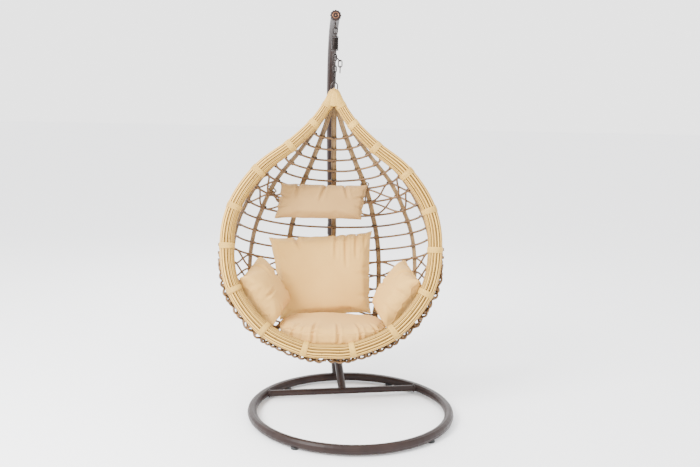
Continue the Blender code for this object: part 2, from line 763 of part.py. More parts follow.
def make_ribs(shell, basket):
    """Seven ribs that fan out from the apex. Each starts where it clears the rim and the ribs before it."""
    placed = []
    for number, (angle, end) in enumerate(zip(RIB_ANGLES, RIB_ENDS)):
        sides = (("left", -1), ("right", 1)) if angle else (("", 1),)
        for word, side in sides:
            path = shell.clear_of_rim(shell.rib(angle, end, side), RIB_RADIUS)
            path = [p for p in path if -p.z > APEX_WRAP_HEIGHT - APEX_WRAP_TOP + RIB_RADIUS]
            for other in placed:
                apart = [min((p - q).length for q in other) for p in path]
                blocked = [i for i, gap in enumerate(apart) if gap < 2 * RIB_RADIUS + 3 * GAP]
                path = path[max(blocked, default=-1) + 1:]
            placed.append(path)
            name = f"rib_{word}_{number}" if word else "rib_centre"
            keep(tube_curve(name, spaced(path, 17), RIB_RADIUS, 1), "wicker", basket)


def make_hoops(shell, basket):
    """Thin canes across the back, from one side of the rim to the other."""
    arc = FIRST_HOOP
    for number, step in enumerate((0.0, *HOOP_STEPS)):
        arc += step
        path = shell.clear_of_rim(shell.hoop(arc), HOOP_RADIUS)
        keep(tube_curve(f"hoop_{number + 1}", spaced(path, 19), HOOP_RADIUS, 1), "wicker", basket)


# ---------------------------------------------------------------- cushions


def floor_place(place):
    """A place given from under the hook, as a world point."""
    return Vector((HOOK_X + place[0], HOOK_Y + place[1], place[2]))


def make_pillow(name, place, size, degrees):
    """A stuffed pad, thick in the middle and thin at the corners, with slightly hollow sides."""
    obj = bpy.data.objects.new(name, bpy.data.meshes.new(name))
    work = bmesh.new()
    bmesh.ops.create_cube(work, size=2)
    bmesh.ops.subdivide_edges(work, edges=work.edges, cuts=5, use_grid_fill=True)
    thin = size.index(min(size))
    wide = [axis for axis in range(3) if axis != thin]
    for vertex in work.verts:
        u, v = (vertex.co[axis] for axis in wide)
        crown = math.sqrt(max(0.0, (1 - u**4) * (1 - v**4)))
        vertex.co[thin] *= PILLOW_EDGE + (1 - PILLOW_EDGE) * crown
        vertex.co[wide[0]] *= 1 - PILLOW_HOLLOW * (1 - v * v)
        vertex.co[wide[1]] *= 1 - PILLOW_HOLLOW * (1 - u * u)
        vertex.co = Vector(vertex.co[axis] * size[axis] / 2 for axis in range(3))
    work.to_mesh(obj.data)
    work.free()
    shade_smooth(obj, 80)
    obj.location = floor_place(place)
    obj.rotation_euler = [math.radians(d) for d in degrees]
    keep(obj, "cushion_fabric")


def make_seat():
    """The boxed seat pad: an oval with straight sides, narrower below where the basket closes in."""
    seat = cylinder("seat_cushion", SEAT_TAPER, SEAT_SIZE[2], 28, 1.0)
    for vertex in seat.data.vertices:
        vertex.co.x *= SEAT_SIZE[0] / 2
        vertex.co.y *= SEAT_SIZE[1] / 2
    shade_smooth(seat, 60)
    seat.location = floor_place(SEAT_PLACE)
    bevel(seat, SEAT_EDGE, 3)
    keep(seat, "cushion_fabric")


def make_cushions():
    make_seat()
    make_pillow("back_cushion", BACK_PLACE, BACK_SIZE, BACK_TURN)
    make_pillow("head_pillow", HEAD_PLACE, HEAD_SIZE, HEAD_TURN)
    for name, side in (("left_pillow", -1), ("right_pillow", 1)):
        place = (side * PILLOW_PLACE[0], *PILLOW_PLACE[1:])
        turn = (PILLOW_TURN[0], side * PILLOW_TURN[1], side * PILLOW_TURN[2])
        make_pillow(name, place, PILLOW_SIZE, turn)


# ---------------------------------------------------------------- the whole chair


def main():
    clear_scene()
    make_collections()
    make_materials()

    base = empty("stand_frame", (*RING_CENTRE, 0), (0, 0, STAND_TURN))
    post = empty("post_frame", (0, 0, 0))
    post.matrix_world = POST_PLACE
    make_base(base)
    upper = make_post(base, post)
    make_sleeve(base)
    make_ring_bolts(base)
    make_pads(base)
    make_post_end(post, upper)

    swing = empty("swing_pivot", (HOOK_X, HOOK_Y, HANGER_TOP))
    make_hanger_ring(swing)
    side_swing = empty("side_pivot", (HOOK_X, HOOK_Y, HANGER_BOTTOM))
    make_hook("spring_upper_hook", side_swing, UPPER_HOOK_TOP, COIL_TOP + END_DISC_THICKNESS / 2)
    make_spring(side_swing)
    bounce = empty("bounce_slide", (HOOK_X, HOOK_Y, COIL_BOTTOM))
    make_hook("spring_lower_hook", bounce, LOWER_HOOK_BOTTOM, COIL_BOTTOM - END_DISC_THICKNESS / 2)
    swivel = empty("swivel_pivot", (HOOK_X, HOOK_Y, LOWER_HOOK_BOTTOM))
    make_chain(swivel)
    make_tail(swivel)

    basket = empty("basket_frame", APEX, (-BASKET_TILT, 0, 0))
    shell = Shell()
    bail = make_basket_ring(basket)
    make_rim(shell, basket)
    make_apex_wrap(shell, basket, bail)
    make_ribs(shell, basket)
    make_hoops(shell, basket)
    make_cushions()


main()
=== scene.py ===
"""Hanging egg chair: the cane, cushions, hardware and finishes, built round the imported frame.

Everything is in metres in the frame's own axes. Each class below is one sub-assembly or one finish.
"""

import json
import logging
import math
from collections.abc import Callable, Iterable, Sequence
from dataclasses import dataclass, field
from enum import Enum

import bmesh
import bpy
import numpy as np
from mathutils import Euler, Matrix, Vector, noise


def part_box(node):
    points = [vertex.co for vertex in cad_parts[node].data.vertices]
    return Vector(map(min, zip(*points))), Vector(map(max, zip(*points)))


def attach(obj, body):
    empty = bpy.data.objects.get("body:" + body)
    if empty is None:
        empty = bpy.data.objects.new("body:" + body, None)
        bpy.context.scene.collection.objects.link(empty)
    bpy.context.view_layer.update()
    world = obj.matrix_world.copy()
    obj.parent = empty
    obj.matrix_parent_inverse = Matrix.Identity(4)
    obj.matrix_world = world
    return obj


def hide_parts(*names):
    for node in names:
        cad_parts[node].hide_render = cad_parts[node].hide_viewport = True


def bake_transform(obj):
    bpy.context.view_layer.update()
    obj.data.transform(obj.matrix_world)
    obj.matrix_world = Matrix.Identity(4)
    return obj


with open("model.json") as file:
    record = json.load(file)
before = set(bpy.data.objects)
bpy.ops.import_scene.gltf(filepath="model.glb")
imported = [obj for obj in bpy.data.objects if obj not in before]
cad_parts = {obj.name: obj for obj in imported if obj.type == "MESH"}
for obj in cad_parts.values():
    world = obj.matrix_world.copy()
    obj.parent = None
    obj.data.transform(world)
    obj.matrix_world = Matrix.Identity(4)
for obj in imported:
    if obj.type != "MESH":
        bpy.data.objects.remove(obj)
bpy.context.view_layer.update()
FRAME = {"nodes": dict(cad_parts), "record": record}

LOG = logging.getLogger("egg_chair")

STAND = "stand"
BASKET = "basket"


class Slot(Enum):
    """The record's material slots."""

    BRONZE = "bronze_paint"
    STEEL = "dark_steel"
    RATTAN = "rattan"
    WICKER = "wicker"
    FABRIC = "cushion_fabric"
    PLASTIC = "black_plastic"


# ---------------------------------------------------------------- shader expressions


class Signal:
    """A number on a shader socket that can be used in Python expressions."""

    def __init__(self, graph: "Graph", socket: bpy.types.NodeSocket) -> None:
        """Keeps the socket and the graph that it belongs to."""
        self.graph = graph
        self.socket = socket

    def math(self, operation: str, *values: "Signal | float") -> "Signal":
        """Adds a Math node.

        Args:
            operation: The Math node's operation.
            values: Its inputs, in order.

        Returns:
            The node's result.
        """
        sockets = {index: value for index, value in enumerate(values)}
        return Signal(self.graph, self.graph.add("Math", {"operation": operation}, sockets).outputs[0])

    def __add__(self, other: "Signal | float") -> "Signal":
        """self + other."""
        return self.math("ADD", self, other)

    def __radd__(self, other: float) -> "Signal":
        """other + self."""
        return self.math("ADD", other, self)

    def __sub__(self, other: "Signal | float") -> "Signal":
        """self - other."""
        return self.math("SUBTRACT", self, other)

    def __rsub__(self, other: float) -> "Signal":
        """other - self."""
        return self.math("SUBTRACT", other, self)

    def __mul__(self, other: "Signal | float") -> "Signal":
        """self * other."""
        return self.math("MULTIPLY", self, other)

    def __rmul__(self, other: float) -> "Signal":
        """other * self."""
        return self.math("MULTIPLY", other, self)

    def __abs__(self) -> "Signal":
        """The value without its sign."""
        return self.math("ABSOLUTE", self)

    def fraction(self) -> "Signal":
        """The part of the value after the decimal point."""
        return self.math("FRACT", self)

    def wave(self) -> "Signal":
        """The sine of the value, from 0 to 1."""
        return self.math("SINE", self) * 0.5 + 0.5

    def ramp(self, low: float, high: float) -> "Signal":
        """The value as a share of the way from low to high, held between 0 and 1."""
        sockets = {"Value": self, "From Min": low, "From Max": high}
        return Signal(self.graph, self.graph.add("MapRange", {}, sockets).outputs[0])


Colour = tuple[float, float, float]
Input = Signal | bpy.types.NodeSocket | float | tuple


class Graph:
    """One material's node tree."""

    def __init__(self, name: str) -> None:
        """Makes an empty material with its Principled shader.

        Args:
            name: The material's name.
        """
        self.material = bpy.data.materials.new(name)
        self.material.use_nodes = True
        self.nodes = self.material.node_tree.nodes
        self.links = self.material.node_tree.links
        self.shader = self.nodes["Principled BSDF"]

    def add(self, kind: str, settings: dict[str, object],
            sockets: dict[str | int, Input]) -> bpy.types.Node:
        """Adds a node, sets it up and fills its sockets.

        Args:
            kind: The node's type without its ShaderNode prefix.
            settings: Properties of the node, or "stops" for a colour ramp.
            sockets: Values or links by socket name or number.

        Returns:
            The node.
        """
        node = self.nodes.new(f"ShaderNode{kind}")
        for name, value in settings.items():
            if name == "stops":
                self.set_stops(node.color_ramp, value)
            else:
                setattr(node, name, value)
        for name, value in sockets.items():
            self.fill(node.inputs[name], value)
        return node

    def set_stops(self, ramp: bpy.types.ColorRamp, stops: Sequence[tuple[float, Colour]]) -> None:
        """Gives a colour ramp its stops.

        Args:
            ramp: The ramp.
            stops: Each stop's place and colour.
        """
        while len(ramp.elements) < len(stops):
            ramp.elements.new(1.0)
        for element, (place, colour) in zip(ramp.elements, stops):
            element.position = place
            element.color = (*colour, 1.0)

    def fill(self, socket: bpy.types.NodeSocket, value: Input) -> None:
        """Links a socket to a signal or another socket, or sets its value.

        Args:
            socket: The socket to fill.
            value: What goes into it.
        """
        if isinstance(value, Signal):
            self.links.new(value.socket, socket)
        elif isinstance(value, bpy.types.NodeSocket):
            self.links.new(value, socket)
        elif isinstance(value, tuple) and socket.type == "RGBA":
            socket.default_value = (*value, 1.0)
        else:
            socket.default_value = value

    def set(self, **sockets: Input) -> None:
        """Fills the Principled shader's sockets, with underscores for spaces."""
        for name, value in sockets.items():
            self.fill(self.shader.inputs[name.replace("_", " ")], value)

    def place(self) -> bpy.types.NodeSocket:
        """The point on the piece at rest, in metres."""
        return self.add("TexCoord", {}, {}).outputs["Object"]

    def strand(self) -> tuple[Signal, Signal, Signal]:
        """Reads where a point lies on its strand.

        Returns:
            The distance along the strand, the turn round it, and the strand's own number from 0 to 1.
        """
        vector = self.add("Attribute", {"attribute_name": "strand"}, {}).outputs["Vector"]
        parts = self.add("SeparateXYZ", {}, {"Vector": vector}).outputs
        return Signal(self, parts[0]), Signal(self, parts[1]), Signal(self, parts[2])

    def vector(self, x: Input, y: Input, z: Input) -> bpy.types.NodeSocket:
        """Three numbers as a vector."""
        return self.add("CombineXYZ", {}, {"X": x, "Y": y, "Z": z}).outputs[0]

    def scaled(self, vector: bpy.types.NodeSocket,
               scale: tuple[float, float, float]) -> bpy.types.NodeSocket:
        """A vector with each part multiplied."""
        return self.add("VectorMath", {"operation": "MULTIPLY"}, {0: vector, 1: scale}).outputs[0]

    def noise(self, vector: bpy.types.NodeSocket, scale: float, detail: float = 3.0) -> Signal:
        """Smooth noise from about 0.3 to 0.7."""
        sockets = {"Vector": vector, "Scale": scale, "Detail": detail}
        return Signal(self, self.add("TexNoise", {}, sockets).outputs[0])

    def mix(self, share: Input, first: Input, second: Input) -> bpy.types.NodeSocket:
        """A colour between two colours.

        Args:
            share: 0 for the first colour and 1 for the second.
            first: A colour or its socket.
            second: A colour or its socket.

        Returns:
            The mixed colour's socket.
        """
        node = self.add("Mix", {"data_type": "RGBA"}, {0: share, 6: first, 7: second})
        return node.outputs[2]

    def bump(self, height: Signal, distance: float, strength: float = 1.0) -> None:
        """Raises the surface by a height from 0 to 1, in metres of distance."""
        sockets = {"Height": height, "Distance": distance, "Strength": strength}
        self.set(Normal=self.add("Bump", {}, sockets).outputs[0])


# ---------------------------------------------------------------- finishes


@dataclass(frozen=True)
class PowderCoat:
    """Dark bronze powder coat on steel: a fine orange peel with faint rubbed patches."""

    name: str = "bronze_powder_coat"
    colour: Colour = (0.0130, 0.0060, 0.0050)
    rubbed: Colour = (0.034, 0.019, 0.015)
    roughness: float = 0.30
    peel_scale: float = 520.0
    peel_height: float = 0.00012

    def build(self) -> bpy.types.Material:
        """Makes the material.

        Returns:
            The material.
        """
        graph = Graph(self.name)
        place = graph.place()
        rubs = graph.noise(place, 9.0, 5.0).ramp(0.42, 0.72)
        grain = graph.noise(place, self.peel_scale, 1.0)
        fleck = graph.noise(place, 1400.0, 0.0).ramp(0.60, 0.72) * 0.35
        base = graph.mix(rubs * 0.35, self.colour, self.rubbed)
        graph.set(Base_Color=graph.mix(fleck, base, self.rubbed), Specular_IOR_Level=0.22)
        graph.set(Roughness=self.roughness + rubs * 0.14 + grain * 0.08)
        graph.bump(grain, self.peel_height)
        return graph.material


@dataclass(frozen=True)
class DarkSteel:
    """Darkened plated steel: smudged, and worn brighter in patches."""

    name: str = "darkened_steel"
    colour: Colour = (0.0130, 0.0095, 0.0085)
    worn: Colour = (0.055, 0.045, 0.040)

    def build(self) -> bpy.types.Material:
        """Makes the material.

        Returns:
            The material.
        """
        graph = Graph(self.name)
        place = graph.place()
        wear = graph.noise(place, 150.0, 4.0).ramp(0.50, 0.68)
        smudge = graph.noise(place, 60.0, 3.0)
        graph.set(Base_Color=graph.mix(wear * 0.6, self.colour, self.worn), Metallic=0.85)
        graph.set(Roughness=0.24 + smudge * 0.26)
        graph.bump(graph.noise(place, 900.0, 2.0), 0.00006)
        return graph.material


@dataclass(frozen=True)
class CaneSkin:
    """The skin of a cane: streaks along it, a ring at each node, and painted shade down one side.

    The fields are its pale and deep colours, a dark colour that paints shade down the strand's side towards
    the strands beside it and also darkens its node rings and mottle, where round the strand the painted shade
    starts and ends, the distance between nodes, how strongly one strand differs from the next, how mottled
    the skin is, and its roughness.
    """

    name: str
    pale: Colour
    deep: Colour
    gap_shade_and_marks: Colour
    gap_shade_start: float = 0.22
    gap_shade_end: float = 0.34
    node_gap: float = 0.31
    variety: float = 0.5
    mottle: float = 0.0
    roughness: float = 0.42

    def build(self) -> bpy.types.Material:
        """Makes the material.

        Returns:
            The material.
        """
        graph = Graph(self.name)
        along, turn, number = graph.strand()
        streak_place = graph.vector(along * 6.0, turn * 9.0 + number * 40.0, number * 17.0)
        streak = graph.noise(streak_place, 1.0, 4.0).ramp(0.32, 0.68)
        patch = graph.noise(graph.place(), 21.0, 4.0).ramp(0.35, 0.65)
        tone = streak * (1 - self.variety) + number * self.variety
        base = graph.mix(tone, self.pale, self.deep)
        # Mottle and the node rings darken the cane's own tone towards the same dark colour.
        base = graph.mix(patch * self.mottle, base, self.gap_shade_and_marks)
        phase = (along * (1 / self.node_gap) + number * 7.0).fraction()
        ring = 1 - abs(phase - 0.5).ramp(0.0, 0.010)
        # Painted shade: a band down one side of each strand, standing for the shade between neighbouring
        # strands, is coloured dark.
        side = abs(turn.fraction() - 0.5)
        gap_shade_and_marks = 1 - side.ramp(0.5 - self.gap_shade_end, 0.5 - self.gap_shade_start)
        base = graph.mix(ring * 0.55, base, self.gap_shade_and_marks)
        graph.set(Base_Color=graph.mix(gap_shade_and_marks, base, self.gap_shade_and_marks))
        graph.set(Roughness=self.roughness + streak * 0.18, Specular_IOR_Level=0.30)
        fibre = graph.noise(graph.vector(along * 14.0, turn * 60.0, number * 9.0), 1.0, 2.0)
        graph.bump(fibre * 0.5 + ring * 0.9 + streak * 0.3, 0.0006)
        return graph.material


@dataclass(frozen=True)
class Canvas:
    """Plain-woven outdoor cloth: two crossing sets of threads, soft slubs and a little sheen."""

    name: str = "beige_canvas"
    colour: Colour = (0.560, 0.320, 0.085)
    light: Colour = (0.640, 0.380, 0.110)
    thread: float = 0.0011

    def build(self) -> bpy.types.Material:
        """Makes the material.

        Returns:
            The material.
        """
        graph = Graph(self.name)
        place = graph.place()
        parts = graph.add("SeparateXYZ", {}, {"Vector": place}).outputs
        rate = 2 * math.pi / self.thread
        across = (Signal(graph, parts[0]) * rate + Signal(graph, parts[1]) * (0.6 * rate)).wave()
        upward = (Signal(graph, parts[2]) * rate + Signal(graph, parts[1]) * (0.5 * rate)).wave()
        weave = across * 0.5 + upward * 0.5
        slub = graph.noise(graph.scaled(place, (1.0, 1.0, 0.25)), 260.0, 3.0)
        cloud = graph.noise(place, 7.0, 3.0).ramp(0.35, 0.65)
        base = graph.mix(cloud * 0.45 + slub * 0.3, self.colour, self.light)
        graph.set(Base_Color=graph.mix(weave * 0.16, base, self.colour), Roughness=0.86 + weave * 0.08)
        graph.set(Sheen_Weight=0.08, Sheen_Roughness=0.5, Specular_IOR_Level=0.2)
        graph.bump(weave * 0.7 + slub * 0.6, 0.00035)
        return graph.material


@dataclass(frozen=True)
class MouldedPlastic:
    """Black moulded plastic with a fine spark-eroded grain."""

    name: str = "black_moulded_plastic"
    colour: Colour = (0.008, 0.008, 0.009)

    def build(self) -> bpy.types.Material:
        """Makes the material.

        Returns:
            The material.
        """
        graph = Graph(self.name)
        place = graph.place()
        grain = graph.noise(place, 1500.0, 2.0)
        dust = graph.noise(place, 40.0, 4.0).ramp(0.5, 0.75)
        graph.set(Base_Color=graph.mix(dust * 0.3, self.colour, (0.035, 0.033, 0.031)))
        graph.set(Roughness=0.48 + grain * 0.16)
        graph.bump(grain, 0.00008)
        return graph.material


@dataclass(frozen=True)
class Copper:
    """The rosette's copper ring and dot, slightly tarnished."""

    name: str = "copper_ring"

    def build(self) -> bpy.types.Material:
        """Makes the material.

        Returns:
            The material.
        """
        graph = Graph(self.name)
        tarnish = graph.noise(graph.place(), 220.0, 4.0).ramp(0.4, 0.7)
        graph.set(Base_Color=graph.mix(tarnish, (0.30, 0.135, 0.070), (0.12, 0.058, 0.035)))
        graph.set(Metallic=0.9, Roughness=0.28 + tarnish * 0.2)
        return graph.material


@dataclass
class Palette:
    """Every finish of the chair, made once."""

    coat: bpy.types.Material = field(default_factory=lambda: PowderCoat().build())
    steel: bpy.types.Material = field(default_factory=lambda: DarkSteel().build())
    plastic: bpy.types.Material = field(default_factory=lambda: MouldedPlastic().build())
    copper: bpy.types.Material = field(default_factory=lambda: Copper().build())
    canvas: bpy.types.Material = field(default_factory=lambda: Canvas().build())
    tan_canvas: bpy.types.Material = field(
        default_factory=lambda: Canvas("tan_canvas", (0.360, 0.205, 0.068), (0.430, 0.250, 0.085)).build())
    # Each cane finish's third colour is dark: it paints the shade down the strands' sides and darkens node
    # rings and mottle.
    rim_cane: bpy.types.Material = field(default_factory=lambda: CaneSkin(
        "straw_cane", (0.82, 0.50, 0.090), (0.52, 0.285, 0.055), (0.070, 0.027, 0.006),
        gap_shade_start=0.105, gap_shade_end=0.195, variety=0.45).build())
    lashing: bpy.types.Material = field(default_factory=lambda: CaneSkin(
        "cream_lashing", (0.74, 0.47, 0.100), (0.58, 0.35, 0.075), (0.34, 0.185, 0.040),
        gap_shade_start=0.30, gap_shade_end=0.42, node_gap=0.9).build())
    # The core's colours are painted shade: the dark inside of the rim's bundle, seen between its canes.
    core: bpy.types.Material = field(default_factory=lambda: CaneSkin(
        "shaded_cane", (0.10, 0.045, 0.012), (0.07, 0.032, 0.010), (0.04, 0.02, 0.008)).build())
    rib_cane: bpy.types.Material = field(default_factory=lambda: CaneSkin(
        "mottled_cane", (0.320, 0.200, 0.082), (0.170, 0.102, 0.045), (0.062, 0.036, 0.020),
        gap_shade_start=0.30, gap_shade_end=0.44, node_gap=0.19, variety=0.4, mottle=0.55, roughness=0.5).build())
    hoop_cane: bpy.types.Material = field(default_factory=lambda: CaneSkin(
        "brown_cane", (0.240, 0.130, 0.048), (0.120, 0.063, 0.029), (0.052, 0.028, 0.016),
        gap_shade_start=0.36, gap_shade_end=0.48, node_gap=0.23, mottle=0.5).build())
    binding: bpy.types.Material = field(default_factory=lambda: CaneSkin(
        "dark_binding", (0.100, 0.055, 0.028), (0.052, 0.029, 0.017), (0.022, 0.013, 0.009),
        mottle=0.4).build())


# ---------------------------------------------------------------- curves and meshes

Path = list[Vector]


def smooth_path(points: Iterable[Sequence[float]], steps: int, mirrored: bool = False) -> Path:
    """A Catmull-Rom curve through the points.

    Args:
        points: The points, in order.
        steps: How many steps it takes between each two.
        mirrored: True for half of a loop that is symmetric about x = 0, which leaves its ends level.

    Returns:
        The curve's points.
    """
    found = [Vector(p) for p in points]
    before, after = found[1].copy(), found[-2].copy()
    if mirrored:
        before.x, after.x = -before.x, -after.x
    else:
        before, after = 2 * found[0] - before, 2 * found[-1] - after
    ends = [before, *found, after]
    path = []
    for a, b, c, d in zip(ends, ends[1:], ends[2:], ends[3:]):
        for step in range(steps):
            t = step / steps
            bend = (2 * a - 5 * b + 4 * c - d) * t * t + (3 * b - a - 3 * c + d) * t**3
            path.append(0.5 * (2 * b + (c - a) * t + bend))
    return [*path, found[-1]]


def path_lengths(path: Path) -> list[float]:
    """Measures a path.

    Args:
        path: The path's points.

    Returns:
        The distance along the path to each of its points.
    """
    lengths = [0.0]
    for a, b in zip(path, path[1:]):
        lengths.append(lengths[-1] + (b - a).length)
    return lengths


def spaced(path: Path, count: int) -> Path:
    """Spaces a path evenly.

    Args:
        path: The path's points.
        count: How many points it gets.

    Returns:
        The same path as points at equal distances along it.
    """
    lengths = path_lengths(path)
    wanted = np.linspace(0, lengths[-1], count)
    flat = np.array(path)
    axes = [np.interp(wanted, lengths, flat[:, axis]) for axis in range(3)]
    return [Vector(p) for p in zip(*axes)]


class Draft:
    """One piece while it is built: its points, faces and strand coordinates."""

    def __init__(self) -> None:
        """Starts empty."""
        self.points: list[Vector] = []
        self.faces: list[tuple[int, ...]] = []
        self.strand: list[tuple[float, float, float]] = []

    def tube(self, path: Path, radius: float | Sequence[float], sides: int = 8, number: float = 0.5,
             facing: Sequence[Vector] | None = None, closed: bool = False) -> "Draft":
        """Adds a round strand along a path.

        Args:
            path: The strand's centre line.
            radius: Its radius, or one for each point.
            sides: How many sides it has.
            number: The strand's own number from 0 to 1, for its colour.
            facing: The direction that its first side faces at each point.
            closed: True for a flat loop that ends where it starts.

        Returns:
            The draft.
        """
        radii = [radius] * len(path) if isinstance(radius, (int, float)) else radius
        lengths = path_lengths(path)
        start = len(self.points)
        last = len(path) - 1
        normal = None
        for index, centre in enumerate(path):
            after = path[(index + 1) % len(path)] if closed or index < last else centre
            before = path[index - 1] if closed or index else centre
            along = (after - before).normalized()
            if facing:
                normal = facing[index].copy()
            elif normal is None:
                normal = along.orthogonal()
            normal = (normal - along * normal.dot(along)).normalized()
            side = along.cross(normal)
            for step in range(sides):
                angle = 2 * math.pi * step / sides
                out = normal * math.cos(angle) + side * math.sin(angle)
                self.points.append(centre + out * radii[index])
                self.strand.append((lengths[index], step / sides, number))
        rings = len(path) if closed else last
        for ring in range(rings):
            low, high = start + ring * sides, start + (ring + 1) % len(path) * sides
            for step in range(sides):
                other = (step + 1) % sides
                self.faces.append((low + step, low + other, high + other, high + step))
        if not closed:
            self.faces.append(tuple(range(start + sides - 1, start - 1, -1)))
            self.faces.append(tuple(range(start + last * sides, start + (last + 1) * sides)))
        return self

    def lathe(self, profile: Sequence[tuple[float, float]], place: Matrix, steps: int = 48,
              scallops: int = 0, depth: float = 0.0) -> "Draft":
        """Adds a closed solid turned about its own Z from an outline that starts and ends on the axis.

        Args:
            profile: Points of (radius, height), with radius 0 first and last.
            place: Where the solid goes.
            steps: How many steps the turn has.
            scallops: How many lobes its outer edge has.
            depth: How deep the scallops are, as a share of the radius.

        Returns:
            The draft.
        """
        start = len(self.points)
        inner = profile[1:-1]
        for radius, height in inner:
            for step in range(steps):
                angle = 2 * math.pi * step / steps
                lobe = 1 - depth * (1 - abs(math.cos(scallops * angle / 2))) if scallops else 1.0
                across, aside = radius * lobe * math.cos(angle), radius * lobe * math.sin(angle)
                self.points.append(place @ Vector((across, aside, height)))
                self.strand.append((height, step / steps, 0.5))
        for ring in range(len(inner) - 1):
            low, high = start + ring * steps, start + (ring + 1) * steps
            for step in range(steps):
                other = (step + 1) % steps
                self.faces.append((low + step, low + other, high + other, high + step))
        top = start + (len(inner) - 1) * steps
        self.faces.append(tuple(range(start + steps - 1, start - 1, -1)))
        self.faces.append(tuple(range(top, top + steps)))
        return self

    def build(self, name: str, material: bpy.types.Material) -> bpy.types.Object:
        """Makes the object.

        Args:
            name: The piece's name.
            material: Its finish.

        Returns:
            The object, in the scene.
        """
        mesh = bpy.data.meshes.new(name)
        mesh.from_pydata([tuple(p) for p in self.points], [], self.faces)
        mesh.update()
        layer = mesh.attributes.new("strand", "FLOAT_VECTOR", "POINT")
        layer.data.foreach_set("vector", np.array(self.strand, dtype=np.float32).ravel())
        mesh.shade_smooth()
        mesh.materials.append(material)
        obj = bpy.data.objects.new(name, mesh)
        bpy.context.scene.collection.objects.link(obj)
        return obj


def fit(piece: bpy.types.Object, body: str, slot: Slot, *nodes: str) -> bpy.types.Object:
    """Puts a piece on its body.

    Args:
        piece: The piece.
        body: The body that it moves with.
        slot: The material slot that it belongs to; not used.
        nodes: The frame's nodes that it stands for.

    Returns:
        The piece.
    """
    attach(piece, body)
    if nodes:
        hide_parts(*nodes)
    LOG.info("%s rides on %s: %d faces", piece.name, body, len(piece.data.polygons))
    return piece


def middle(node: str) -> Vector:
    """The middle of a node's box in the frame."""
    low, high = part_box(node)
    return (low + high) / 2


# ---------------------------------------------------------------- the basket's surface


